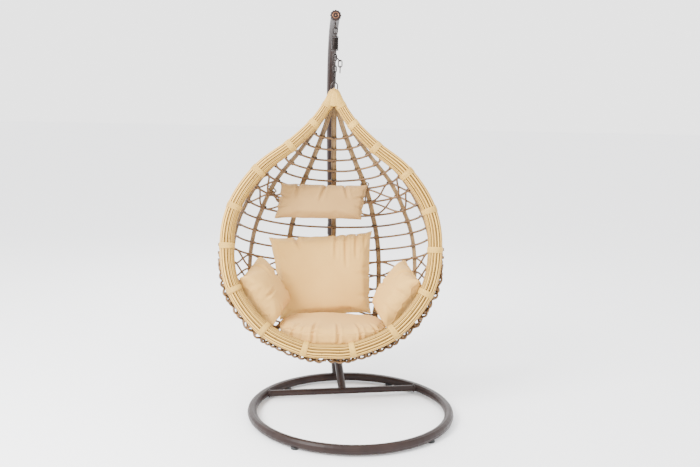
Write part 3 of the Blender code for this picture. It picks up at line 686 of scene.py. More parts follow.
@dataclass
class Shell:
    """The basket's surface between its rim and its middle section, hung from the point under the hook.

    The outline and the section are the frame's own: a share of the half width or of the depth, then a share
    of the height, from the apex to the rim's lowest point.
    """

    half_width: float = 0.494
    height: float = 1.232
    depth: float = 0.600
    bulge: float = 0.25
    tilt: float = math.radians(11.5)
    apex_height: float = 1.554
    rib_radius: float = 0.0100
    hoop_radius: float = 0.0035
    rib_angles: tuple[float, ...] = (0.0, 24.5, 49.0, 68.0)
    rib_ends: tuple[float, ...] = (1.0, 0.93, 0.85, 0.76)
    outline: tuple[tuple[float, float], ...] = (
        (0.0, 0.0), (0.060, 0.050), (0.186, 0.124), (0.405, 0.211), (0.704, 0.308), (0.931, 0.446),
        (1.0, 0.597), (0.925, 0.767), (0.638, 0.917), (0.255, 0.990), (0.0, 1.0))
    section: tuple[tuple[float, float], ...] = (
        (0.0, 0.0), (0.10, 0.085), (0.23, 0.165), (0.42, 0.265), (0.66, 0.375), (0.86, 0.485), (0.97, 0.60),
        (1.0, 0.72), (0.94, 0.845), (0.79, 0.95), (0.56, 1.02), (0.30, 1.045), (0.08, 1.02), (0.0, 1.0))

    def __post_init__(self) -> None:
        """Works out the two curves and the basket's place."""
        rim = [(x * self.half_width, 0, -z * self.height) for x, z in self.outline]
        back = [(0, y * self.depth, -z * self.height) for y, z in self.section]
        self.rim_curve = spaced(smooth_path(rim, 12, mirrored=True), 241)
        self.back_curve = spaced(smooth_path(back, 12), 241)
        self.rim_length = path_lengths(self.rim_curve)[-1]
        self.back_length = path_lengths(self.back_curve)[-1]
        hook = middle("hanger_ring")
        apex = Matrix.Translation((hook.x, hook.y, self.apex_height))
        self.place = apex @ Matrix.Rotation(-self.tilt, 4, "X")
        self.turn = self.place.to_3x3()
        self.backward = self.turn @ Vector((0, 1, 0))

    @staticmethod
    def sample(curve: Path, t: float) -> Vector:
        """Reads a curve of equal steps.

        Args:
            curve: The curve's points.
            t: The share of the way along it.

        Returns:
            The point there.
        """
        place = max(0.0, min(1.0, t)) * (len(curve) - 1)
        index = min(int(place), len(curve) - 2)
        return curve[index].lerp(curve[index + 1], place - index)

    def local(self, angle: float, t: float) -> Vector:
        """A point of the surface in the basket's own axes.

        Args:
            angle: The turn round from the middle section, in radians.
            t: The share of the way from the apex to the front.

        Returns:
            The point.
        """
        rim = self.sample(self.rim_curve, t)
        back = self.sample(self.back_curve, t)
        bulge = self.bulge * min(1.0, t / 0.6)
        across = rim.x * math.sin(angle) * (1 + bulge * math.cos(angle))
        down = rim.z + (back.z - rim.z) * math.cos(angle)
        return Vector((across, back.y * math.cos(angle), down))

    def normal(self, angle: float, t: float) -> Vector:
        """The surface's direction outward.

        Args:
            angle: The turn round from the middle section, in radians.
            t: The share of the way from the apex to the front.

        Returns:
            The outward normal in the basket's own axes.
        """
        step = 1e-3
        t = max(2 * step, min(1 - 2 * step, t))
        along = self.local(angle, t + step) - self.local(angle, t - step)
        across = self.local(angle + step, t) - self.local(angle - step, t)
        return across.cross(-along).normalized()

    def lifted(self, angle: float, t: float, lift: float) -> Vector:
        """A point outside the surface, in the frame's axes."""
        return self.place @ (self.local(angle, t) + self.normal(angle, t) * lift)

    def rim(self, distance: float) -> tuple[Vector, Vector]:
        """The rim's centre line at a distance from the apex.

        Args:
            distance: Metres down the right side, or minus metres down the left side.

        Returns:
            The point, and the outward direction in the rim's plane.
        """
        side = -1 if distance < 0 else 1
        t = min(1.0, abs(distance) / self.rim_length)
        ahead, behind = self.sample(self.rim_curve, t + 0.002), self.sample(self.rim_curve, t - 0.002)
        if t < 0.002:
            behind = Vector((-ahead.x, 0, ahead.z))
        if t > 0.998:
            ahead = Vector((-behind.x, 0, behind.z))
        along = (ahead - behind).normalized()
        out = Vector((-along.z * side, 0, along.x))
        point = self.sample(self.rim_curve, t)
        point.x *= side
        return self.place @ point, self.turn @ out

    def rim_gap(self, place: Vector) -> float:
        """Measures how far a point is from the rim.

        Args:
            place: A point in the frame's axes.

        Returns:
            Its distance from the rim's centre line.
        """
        flat = self.place.inverted() @ place
        flat.x = abs(flat.x)
        return min((flat - p).length for p in self.rim_curve)

    def outside_rim(self, path: Path, gap: float) -> Path:
        """The points of a path that are further than a gap from the rim's centre line."""
        return [p for p in path if self.rim_gap(p) >= gap]

    def rib_angle(self, number: int, t: float) -> float:
        """A rib's turn round the back, fanned out at the top and swept to the rim at the end.

        Args:
            number: The rib's number from the middle.
            t: The share of the way from the apex.

        Returns:
            The turn in radians.
        """
        angle, end = self.rib_angles[number], self.rib_ends[number]
        fan = angle * (1 + 0.30 * max(0.0, 1 - t / 0.4))
        sweep = max(0.0, (t / end - 0.72) / 0.28)
        return math.radians(fan + (90 - fan) * sweep**2 * (3 - 2 * sweep)) if angle else 0.0

    def rib(self, number: int, side: int) -> list[tuple[float, float]]:
        """A rib's route, which starts under the apex lashing and ends at the rim.

        Args:
            number: The rib's number from the middle.
            side: Its side, -1 or 1.

        Returns:
            Pairs of angle and t.
        """
        end = self.rib_ends[number]
        shares = [end * step / 160 for step in range(4, 161)]
        return [(side * self.rib_angle(number, t), t) for t in shares]

    def level(self, angle: float, t: float) -> float:
        """How many ribs a turn is round from the middle: 0 at the middle rib and 4 at the rim."""
        turns = [self.rib_angle(number, t) for number in range(4)] + [math.pi / 2]
        return float(np.interp(abs(angle), turns, range(5)))


# ---------------------------------------------------------------- basket


@dataclass
class Rim:
    """The bundle of canes round the opening, its binding ties and the lashing at the apex.

    The canes and their core start under the lashing, at a share of its reach. The fork is the space below
    the apex that level turns fill, from its top to its foot.
    """

    shell: Shell
    palette: Palette
    canes: int = 14
    cane_radius: float = 0.0064
    cane_start: float = 0.8
    core_start: float = 0.6
    drift: float = 0.06
    unevenness: float = 0.0005
    bundle_radius: float = 0.0287
    slim_share: float = 0.70
    full_from: float = 0.62
    lashing_end: float = 0.086
    tie_places: tuple[float, ...] = (0.184, 0.338, 0.532, 0.737, 0.927, 1.139, 1.377, 1.591)
    tie_length: float = 0.028
    tie_lift: float = 0.0074
    tie_crown: float = 0.0010
    strand_radius: float = 0.0016
    strand_wobble: float = 0.0003
    neck_radius: float = 0.0195
    fork_top: float = 0.012
    fork_foot: float = 0.070

    def fullness(self, distance: float) -> float:
        """How full the bundle is: slim at the apex and 1 from the shoulders down."""
        share = min(1.0, abs(distance) / self.full_from)
        return self.slim_share + (1 - self.slim_share) * share * share * (3 - 2 * share)

    def line(self, start: float, end: float, step: float = 0.012) -> list[float]:
        """Distances along the rim from one place to another."""
        count = max(2, round(abs(end - start) / step) + 1)
        return [float(d) for d in np.linspace(start, end, count)]

    def offset(self, distance: float, angle: float, radius: float) -> tuple[Vector, Vector]:
        """A point round the rim's centre line.

        Args:
            distance: Where along the rim.
            angle: The turn round the rim from its outward side, in radians.
            radius: The distance from the centre line.

        Returns:
            The point, and its direction from the centre line.
        """
        point, out = self.shell.rim(distance)
        way = out * math.cos(angle) + self.shell.backward * math.sin(angle)
        return point + way * radius, way

    def build_canes(self) -> None:
        """One long bundle down each side, joined at the bottom."""
        around = 2 * self.shell.rim_length
        bundle = Draft()
        start = self.lashing_end * self.cane_start
        for cane in range(self.canes):
            angle = 2 * math.pi * (cane + 0.5) / self.canes
            path, facing, radii = [], [], []
            for distance in self.line(start, around - start, 0.010):
                place = distance if distance <= self.shell.rim_length else distance - around
                full = self.fullness(place)
                drift = self.drift * noise.noise(Vector((distance * 2.2, cane * 3.7, 0.0)))
                swell = self.unevenness * noise.noise(Vector((distance * 5.0, cane * 1.9, 7.0)))
                point, way = self.offset(place, angle + drift, (self.bundle_radius + swell) * full)
                path.append(point)
                facing.append(way)
                radii.append((self.cane_radius + swell) * full)
            bundle.tube(path, radii, 10, (cane * 0.377) % 1.0, facing)
        fit(bundle.build("rim_cane_bundle", self.palette.rim_cane), BASKET, Slot.RATTAN, "rim_canes")
        # A dark tube inside the canes: painted shade seen through the gaps in the bundle.
        start = self.lashing_end * self.core_start
        line = self.line(start, around - start, 0.02)
        line = [d if d <= self.shell.rim_length else d - around for d in line]
        inside = self.bundle_radius - 0.8 * self.cane_radius
        path = [self.shell.rim(d)[0] for d in line]
        core = Draft().tube(path, [inside * self.fullness(d) for d in line], 16)
        fit(core.build("rim_shade_core", self.palette.core), BASKET, Slot.WICKER)

    def coil(self, draft: Draft, start: float, end: float, radius: Callable[[float], float], strand: float,
             number: float) -> None:
        """Winds a strand round the rim.

        Args:
            draft: The draft that it is added to.
            start: Where it starts along the rim.
            end: Where it ends.
            radius: The winding's radius at each share of the way.
            strand: The strand's own radius.
            number: The strand's number, for its colour.
        """
        turns = max(2, round(abs(end - start) / (2.02 * strand)))
        path = []
        for step in range(turns * 20 + 1):
            share = step / (turns * 20)
            wobble = self.strand_wobble * noise.noise(Vector((share * turns * 2.3, number * 31, 0.0)))
            angle = 2 * math.pi * step / 20
            path.append(self.offset(start + (end - start) * share, angle, radius(share) + wobble)[0])
        draft.tube(path, strand, 6, number)

    def build_ties(self) -> None:
        """Eight binding ties down each side, each slightly fuller in the middle."""
        for side, word in ((-1, "left"), (1, "right")):
            for number, place in enumerate(self.tie_places):
                tie = Draft()
                half = self.tie_length / 2
                radius = (self.bundle_radius + self.tie_lift) * self.fullness(place)
                self.coil(tie, side * place - half, side * place + half,
                          lambda share, radius=radius: radius + self.tie_crown * math.sin(math.pi * share),
                          self.strand_radius, (number * 0.29) % 1.0)
                piece = tie.build(f"rim_tie_{word}_{number + 1}", self.palette.lashing)
                fit(piece, BASKET, Slot.RATTAN)

    def build_lashing(self) -> None:
        """The winding that runs over the apex and hides the canes' ends."""
        lashing = Draft()
        reach = self.lashing_end
        full = (self.bundle_radius + self.tie_lift) * self.fullness(reach)

        def radius(share: float) -> float:
            """Narrow at the apex and as full as the canes at each end."""
            away = abs(2 * share - 1)
            return self.neck_radius + (full - self.neck_radius) * min(1.0, away / 0.85) ** 1.3

        self.coil(lashing, -reach, reach, radius, self.strand_radius, 0.4)
        line = self.line(-reach * 0.96, reach * 0.96, 0.006)
        path = [self.shell.rim(d)[0] for d in line]
        radii = [radius((d + reach) / (2 * reach)) - 0.0008 for d in line]
        lashing.tube(path, radii, 20, 0.5)
        self.gusset(lashing)
        piece = lashing.build("apex_lashing", self.palette.lashing)
        fit(piece, BASKET, Slot.RATTAN, "apex_wrap")

    def gusset(self, draft: Draft) -> None:
        """Winds the level turns that fill the fork below the apex.

        Args:
            draft: The draft that they are added to.
        """
        top, low = self.fork_top, self.fork_foot
        rows = round((low - top) / (2.0 * self.strand_radius))
        path = []
        for step in range(rows * 28 + 1):
            share = step / (rows * 28)
            depth = top + (low - top) * share
            wide = 0.019 + 0.36 * depth
            thick = 0.0215 + 0.045 * depth
            angle = 2 * math.pi * step / 28
            flat = Vector((wide * math.cos(angle), thick * math.sin(angle), -depth))
            path.append(self.shell.place @ flat)
        draft.tube(path, self.strand_radius, 6, 0.55)
        spine = [self.shell.place @ Vector((0, 0, -top - (low - top) * share / 8)) for share in range(9)]
        draft.tube(spine, [0.0185 + 0.0005 * share for share in range(9)], 16, 0.5)

    def build(self) -> None:
        """Builds the whole rim."""
        self.build_canes()
        self.build_ties()
        self.build_lashing()


@dataclass
class Lattice:
    """The ribs, the hoops across them, the waved canes between and the bindings at their crossings.

    A rib's cane is given by how far it lies aside, how far outward, and its radius. The edge is the braid
    and the knots behind the rim's lower part, and it starts at a share of the rim's length.
    """

    shell: Shell
    palette: Palette
    first_hoop: float = 0.237
    hoop_steps: tuple[float, ...] = (0.0655,) * 5 + (0.090,) * 2 + (0.070,) * 4 + (0.200, 0.220)
    wave_radius: float = 0.0050
    cane_radius: float = 0.0056
    under_band: float = 0.0760
    rib_canes: tuple[tuple[float, float, float], ...] = (
        (0.0, 0.0020, 0.0072), (-0.0078, -0.0012, 0.0058), (0.0078, -0.0012, 0.0058))
    hoop_sway: float = 0.0035
    rim_overlap: float = 0.022
    binding_width: float = 0.0140
    binding_depth: float = 0.0162
    binding_strand: float = 0.0015
    edge_start: float = 0.53
    braid_canes: int = 3
    braid_pitch: float = 0.098
    braid_radius: float = 0.0056
    knots: int = 44
    knot_radius: float = 0.0034

    def __post_init__(self) -> None:
        """Works out where the hoops and the bands of waves are."""
        self.hoops = [self.first_hoop]
        for step in self.hoop_steps:
            self.hoops.append(self.hoops[-1] + step)
        self.lift = self.shell.rib_radius + self.shell.hoop_radius + 0.0018
        self.bands = [(self.hoops[5], self.hoops[6]), (self.hoops[6], self.hoops[7])]
        start = self.hoops[11]
        while start + self.under_band < 0.965 * self.shell.back_length:
            self.bands.append((start, start + self.under_band))
            start += self.under_band

    def build_ribs(self) -> None:
        """Each rib as three canes side by side, the middle one proud."""
        for number in range(4):
            for side, word in ((-1, "left"), (1, "right")) if number else ((1, "centre"),):
                route = self.shell.rib(number, side)
                rib = Draft()
                centre = [self.shell.place @ self.shell.local(angle, t) for angle, t in route]
                outward = [self.shell.turn @ self.shell.normal(angle, t) for angle, t in route]
                flat = []
                for index in range(len(centre)):
                    ahead = centre[min(index + 1, len(centre) - 1)] - centre[max(index - 1, 0)]
                    flat.append(outward[index].cross(ahead).normalized())
                for cane, (aside, up, radius) in enumerate(self.rib_canes):
                    path = []
                    for index, point in enumerate(centre):
                        sway = 0.0010 * noise.noise(Vector((index * 0.13, number * 5.1 + side, cane * 2.0)))
                        path.append(point + flat[index] * (aside + sway) + outward[index] * (up + sway))
                    rib.tube(path, radius, 10, (0.23 + 0.31 * cane + 0.17 * number) % 1.0, flat)
                name = f"rib_{word}_{number}" if number else "rib_centre"
                piece = rib.build(f"{name}_canes", self.palette.rib_cane)
                fit(piece, BASKET, Slot.WICKER, name)

    def cross_cane(self, level: Callable[[float], float], lift: float) -> Path:
        """A cane from one side of the rim to the other.

        Args:
            level: Its distance down the back at each turn in radians.
            lift: How far outside the ribs' centre lines it runs.

        Returns:
            Its centre line, which ends inside the rim's bundle.
        """
        path = []
        for turn in np.linspace(-math.pi / 2, math.pi / 2, 161):
            t = level(float(turn)) / self.shell.back_length
            path.append(self.shell.lifted(float(turn), t, lift))
        return self.shell.outside_rim(path, self.rim_overlap)

    def build_hoops(self) -> None:
        """The plain canes across the back, each a little uneven."""
        for number, arc in enumerate(self.hoops):
            def level(turn: float, arc: float = arc, number: int = number) -> float:
                """The hoop's distance down the back, with a slight sway."""
                return arc + self.hoop_sway * noise.noise(Vector((turn * 2.1, number * 4.3, 0.0)))

            cane = Draft().tube(self.cross_cane(level, self.lift), self.cane_radius, 8, (number * 0.37) % 1)
            piece = cane.build(f"hoop_cane_{number + 1}", self.palette.hoop_cane)
            fit(piece, BASKET, Slot.WICKER, f"hoop_{number + 1}")

    def build_waves(self) -> None:
        """Two waved canes in each band, which meet the band's edges at the ribs and cross between them."""
        for number, (top, bottom) in enumerate(self.bands):
            pair = Draft()
            for way in (-1, 1):
                def level(turn: float, way: int = way) -> float:
                    """The wave's distance down the back."""
                    centre = (top + bottom) / 2
                    ribs = self.shell.level(turn, centre / self.shell.back_length)
                    return centre + way * 0.5 * (bottom - top) * math.cos(math.pi * ribs)

                path = self.cross_cane(level, self.lift + way * 0.8 * self.wave_radius)
                pair.tube(path, self.wave_radius, 7, (number * 0.41 + way * 0.2) % 1)
            piece = pair.build(f"wave_canes_{number + 1}", self.palette.hoop_cane)
            fit(piece, BASKET, Slot.WICKER)

    def binding(self, draft: Draft, number: int, side: int, arc: float) -> None:
        """Three turns of split cane round a rib and the cane that crosses it.

        Args:
            draft: The draft that the turns are added to.
            number: The rib's number from the middle.
            side: The rib's side, -1 or 1.
            arc: The crossing's distance down the back.
        """
        t = arc / self.shell.back_length
        if t > self.shell.rib_ends[number] * 0.99:
            return
        angle = side * self.shell.rib_angle(number, t)
        centre = self.shell.lifted(angle, t, 0.0035)
        if self.shell.rim_gap(centre) < 0.040:
            return
        out = self.shell.turn @ self.shell.normal(angle, t)
        step = 0.004
        ahead = self.shell.lifted(side * self.shell.rib_angle(number, t + step), t + step, 0.0035)
        along = (ahead - centre).normalized()
        across = out.cross(along).normalized()
        path = []
        slant = 0.0035 if (number + round(arc * 100)) % 2 else -0.0035
        for turn in range(3 * 14 + 1):
            share = turn / (3 * 14)
            round_about = 2 * math.pi * turn / 14
            shift = (share - 0.5) * 0.008 + slant * math.sin(round_about)
            path.append(centre + across * (self.binding_width * math.cos(round_about))
                        + out * (self.binding_depth * math.sin(round_about)) + along * shift)
        draft.tube(path, self.binding_strand, 5, (arc * 13.7 + number * 0.3) % 1)

    def build_bindings(self) -> None:
        """A binding at every crossing, one piece for each level of canes."""
        levels = sorted({round(arc, 4) for arc in [*self.hoops, *(a for band in self.bands for a in band)]})
        for count, arc in enumerate(levels):
            knots = Draft()
            for number in range(4):
                for side in (-1, 1) if number else (1,):
                    self.binding(knots, number, side, arc)
            if knots.points:
                piece = knots.build(f"crossing_bindings_{count + 1}", self.palette.binding)
                fit(piece, BASKET, Slot.WICKER)

    def build_edge(self) -> None:
        """The braid that gathers the canes' ends behind the lower rim, with its knots."""
        length = self.shell.rim_length
        ends = self.edge_start * length
        around = 2 * length
        for strand in range(self.braid_canes):
            braid = Draft()
            path = []
            steps = 460
            for step in range(steps + 1):
                distance = ends + (around - 2 * ends) * step / steps
                place = distance if distance <= length else distance - around
                point, out = self.shell.rim(place)
                grow = min(1.0, min(step, steps - step) / 60)
                loose = noise.noise(Vector((distance * 9.0, strand * 3.1, 2.0)))
                phase = 2 * math.pi * (distance / self.braid_pitch + strand / self.braid_canes) + 2.2 * loose
                away = 0.031 + grow * (0.0125 + (0.0115 + 0.009 * loose) * math.sin(phase))
                behind = 0.036 + 0.0125 * math.cos(2 * phase)
                path.append(point + out * away + self.shell.backward * behind)
            braid.tube(path, self.braid_radius, 8, strand * 0.37)
            piece = braid.build(f"edge_braid_{strand + 1}", self.palette.hoop_cane)
            fit(piece, BASKET, Slot.WICKER)
        knots = Draft()
        for knot in range(self.knots):
            distance = ends + (around - 2 * ends) * (knot + 0.5) / self.knots
            place = distance if distance <= length else distance - around
            point, out = self.shell.rim(place)
            grow = min(1.0, min(knot, self.knots - 1 - knot) / 7)
            loose = noise.noise(Vector((knot * 1.7, 5.0, 3.0)))
            centre = point + out * (0.034 + (0.008 + 0.006 * loose) * grow) + self.shell.backward * 0.036
            along = out.cross(self.shell.backward).normalized()
            wide = 0.0105 + 0.003 * abs(loose)
            path = []
            for turn in range(36):
                angle = 2 * math.pi * turn / 14
                shift = (turn / 35 - 0.5) * 0.011 + 0.010 * loose * math.cos(angle)
                path.append(centre + out * (wide * math.cos(angle)) + along * shift
                            + self.shell.backward * (0.0145 * math.sin(angle)))
            knots.tube(path, self.knot_radius, 6, (knot * 0.37) % 1)
        fit(knots.build("edge_knots", self.palette.hoop_cane), BASKET, Slot.WICKER)

    def build(self) -> None:
        """Builds the whole lattice."""
        self.build_ribs()
        self.build_hoops()
        self.build_waves()
        self.build_bindings()
        self.build_edge()


# ---------------------------------------------------------------- cushions


class Stance(Enum):
    """How a cushion is turned before its own tilt: its width, height and thickness in the frame's axes."""

    LYING = ((1, 0, 0), (0, 1, 0), (0, 0, 1))
    UPRIGHT = ((1, 0, 0), (0, 0, 1), (0, -1, 0))
    FACING_RIGHT = ((0, 1, 0), (0, 0, 1), (1, 0, 0))
    FACING_LEFT = ((0, -1, 0), (0, 0, 1), (-1, 0, 0))

    def matrix(self) -> Matrix:
        """The turn as a matrix."""
        return Matrix(self.value).transposed().to_4x4()


@dataclass(frozen=True)
class Crease:
    """A fold pressed into a cushion, between two points given as shares of its half sizes."""

    start: tuple[float, float]
    end: tuple[float, float]
    depth: float
    width: float


@dataclass
class Cushion:
    """A stuffed pad: its place, size and turn, the shape of its cover, and its creases.

    The pad's own axes are along its width, its height and its thickness. An ear is how far a corner sticks
    out, and a waist how far a side is drawn in between two corners. The lean shifts its top edge sideways,
    and the taper narrows its bottom edge. Filling moves no point further than the travel. The mesh size is
    that of the cloth, and a seam point is read once in each seam step.
    """

    name: str
    node: str
    body: str
    width: float
    height: float
    thickness: float
    place: tuple[float, float, float]
    turn: tuple[float, float, float]
    stance: Stance = Stance.LYING
    fill: float = 0.7
    ears: float = 0.05
    waist: float = 0.06
    edge: float = 0.16
    boxed: bool = False
    travel: float = 0.016
    lean: float = 0.0
    taper: float = 0.0
    creases: tuple[Crease, ...] = ()
    mesh_size: float = 0.0055
    seam_step: float = 0.009
    piping_radius: float = 0.0021
    pressure: float = 4.0
    fill_frames: int = 20

    def matrix(self) -> Matrix:
        """The pad's own axes in the frame's axes.

        Returns:
            The matrix that puts the pad in its place.
        """
        hook = middle("hanger_ring")
        spot = Matrix.Translation((hook.x + self.place[0], hook.y + self.place[1], self.place[2]))
        tilt = Euler([math.radians(d) for d in self.turn]).to_matrix().to_4x4()
        return spot @ tilt @ self.stance.matrix()

    def outline(self, u: float, v: float) -> tuple[float, float]:
        """Bends a square from -1 to 1 into the cover's outline.

        Args:
            u: The place across the square.
            v: The place up the square.

        Returns:
            The place on the cover, as shares of its half width and half height.
        """
        if self.boxed:
            return u * math.sqrt(1 - 0.40 * v * v), v * math.sqrt(1 - 0.40 * u * u)
        corner = (u * u * v * v) ** 1.5
        return (u * (1 - self.waist * (1 - v * v) + self.ears * corner),
                v * (1 - self.waist * (1 - u * u) + self.ears * corner))

    def crown(self, u: float, v: float) -> float:
        """Shapes the pad's thickness.

        Args:
            u: The place across the square.
            v: The place up the square.

        Returns:
            The half thickness there, as a share of the full one.
        """
        if self.boxed:
            return 1.0
        return self.edge + (1 - self.edge) * math.sqrt(max(0.0, (1 - abs(u) ** 3) * (1 - abs(v) ** 3)))

    def blank(self) -> bpy.types.Object:
        """Makes the pad before it is filled: two grids joined at the edge.

        Returns:
            The pad in its own axes.
        """
        work = bmesh.new()
        bmesh.ops.create_cube(work, size=2)
        bmesh.ops.subdivide_edges(work, edges=work.edges, cuts=15, use_grid_fill=True)
        for vertex in work.verts:
            u, v, w = vertex.co
            across, up = self.outline(u, v)
            shrink = 0.97
            taper = 1 - 0.14 * (1 - w) / 2 if self.boxed else 1.0
            vertex.co = Vector((
                across * taper * self.width / 2 * shrink,
                up * taper * self.height / 2 * shrink,
                w * self.crown(u, v) * self.thickness / 2 * (0.86 if self.boxed else 0.90)))
            vertex.co.x = vertex.co.x * (1 - self.taper * (1 - v) / 2) + self.lean * v
        mesh = bpy.data.meshes.new(self.name)
        work.to_mesh(mesh)
        work.free()
        pad = bpy.data.objects.new(self.name, mesh)
        bpy.context.scene.collection.objects.link(pad)
        return pad

    def apply(self, pad: bpy.types.Object) -> None:
        """Turns a pad's modifiers into its mesh.

        Args:
            pad: The pad.
        """
        graph = bpy.context.evaluated_depsgraph_get()
        mesh = bpy.data.meshes.new_from_object(pad.evaluated_get(graph))
        pad.modifiers.clear()
        pad.data = mesh

    def inflate(self, pad: bpy.types.Object) -> None:
        """Blows the cover out from the inside as cloth, and keeps every point within its travel.

        Args:
            pad: The pad in its own axes.
        """
        before = [v.co.copy() for v in pad.data.vertices]
        cloth = pad.modifiers.new("filling", "CLOTH")
        cloth.settings.quality = 4
        cloth.settings.use_pressure = True
        cloth.settings.uniform_pressure_force = self.pressure
        cloth.settings.effector_weights.gravity = 0
        cloth.settings.tension_stiffness = 14
        cloth.settings.compression_stiffness = 14
        cloth.settings.bending_stiffness = 0.4
        cloth.collision_settings.use_collision = False
        scene = bpy.context.scene
        for frame in range(1, self.fill_frames + 1):
            scene.frame_set(frame)
        self.apply(pad)
        scene.frame_set(1)
        for vertex, old in zip(pad.data.vertices, before):
            move = vertex.co - old
            if move.length > self.travel:
                vertex.co = old + move * (self.travel / move.length)

    def press(self, pad: bpy.types.Object) -> None:
        """Presses the creases in, with a low ridge along each side, and ripples the cover near its edge.

        Args:
            pad: The filled pad in its own axes.
        """
        half = Vector((self.width / 2, self.height / 2, self.thickness / 2))
        normals = [v.normal.copy() for v in pad.data.vertices]
        for vertex, normal in zip(pad.data.vertices, normals):
            u, v, w = (vertex.co[axis] / half[axis] for axis in range(3))
            shift = 0.0
            for crease in self.creases:
                start, end = Vector(crease.start), Vector(crease.end)
                line = end - start
                share = max(0.0, min(1.0, (Vector((u, v)) - start).dot(line) / line.length_squared))
                gap = Vector((u, v)) - start - line * share
                away = Vector((gap.x * half.x, gap.y * half.y)).length / crease.width
                fade = (1 - share**3) * min(1.0, max(0.0, (w + 0.4) / 0.4)) * min(1.0, 0.12 + 4 * share)
                fold = math.exp(-away * away) - 0.40 * math.exp(-((away - 1.9) ** 2))
                shift -= crease.depth * fade * fold
            rim = max(abs(u), abs(v))
            pucker = max(0.0, min(1.0, (rim - 0.62) / 0.3))
            ripple = noise.noise(Vector((math.atan2(v, u) * 9.0, w * 0.6, len(self.name) * 1.3)))
            broad = noise.noise(Vector((u * 1.7, v * 1.7, w * 0.8 + len(self.name))))
            shift += 0.0022 * pucker * ripple + 0.0035 * broad
            vertex.co += normal * shift

    def seam_path(self, pad: bpy.types.Object, bias: float) -> Path:
        """The line where two panels of the cover meet.

        Args:
            pad: The finished pad in its own axes.
            bias: 0 for a knife edge, 1 for the upper edge of a boxed pad and -1 for its lower edge.

        Returns:
            The seam's closed path in the pad's own axes.
        """
        sectors: dict[int, tuple[float, Vector]] = {}
        count = round(2 * (self.width + self.height) / self.seam_step)
        for vertex in pad.data.vertices:
            x, y, z = vertex.co
            reach = math.hypot(x / self.width, y / self.height) + bias * z / self.thickness * 0.30
            sector = int((math.atan2(y / self.height, x / self.width) / math.tau + 0.5) * count) % count
            if sector not in sectors or reach > sectors[sector][0]:
                sectors[sector] = (reach, vertex.co.copy())
        line = [sectors[key][1] for key in sorted(sectors)]
        return [(a + 2 * b + c) / 4 for a, b, c in zip([line[-1], *line], line, [*line[1:], line[0]])]

    def build(self, material: bpy.types.Material) -> None:
        """Makes the pad and its seam.

        Args:
            material: The cover's finish.
        """
        pad = self.blank()
        if self.boxed:
            bevel = pad.modifiers.new("edge", "BEVEL")
            bevel.width = 0.014
            bevel.segments = 3
            bevel.limit_method = "ANGLE"
            bevel.angle_limit = math.radians(50)
        remesh = pad.modifiers.new("even", "REMESH")
        remesh.mode = "VOXEL"
        remesh.voxel_size = self.mesh_size
        self.apply(pad)
        self.inflate(pad)
        smooth = pad.modifiers.new("ease", "SMOOTH")
        smooth.factor = 0.5
        smooth.iterations = 6
        self.apply(pad)
        self.press(pad)
        seams = Draft()
        for bias in (1.0, -1.0) if self.boxed else (0.0,):
            line = self.seam_path(pad, bias)
            seams.tube(line, self.piping_radius, 6, 0.5, closed=True)
        fine = pad.modifiers.new("fine", "SUBSURF")
        fine.levels = fine.render_levels = 1
        self.apply(pad)
        pad.data.shade_smooth()
        pad.data.materials.clear()
        pad.data.materials.append(material)
        place = self.matrix()
        pad.data.transform(place)
        seam = seams.build(f"{self.name}_piping", material)
        seam.data.transform(place)
        fit(pad, self.body, Slot.FABRIC, self.node)
        fit(seam, self.body, Slot.FABRIC)


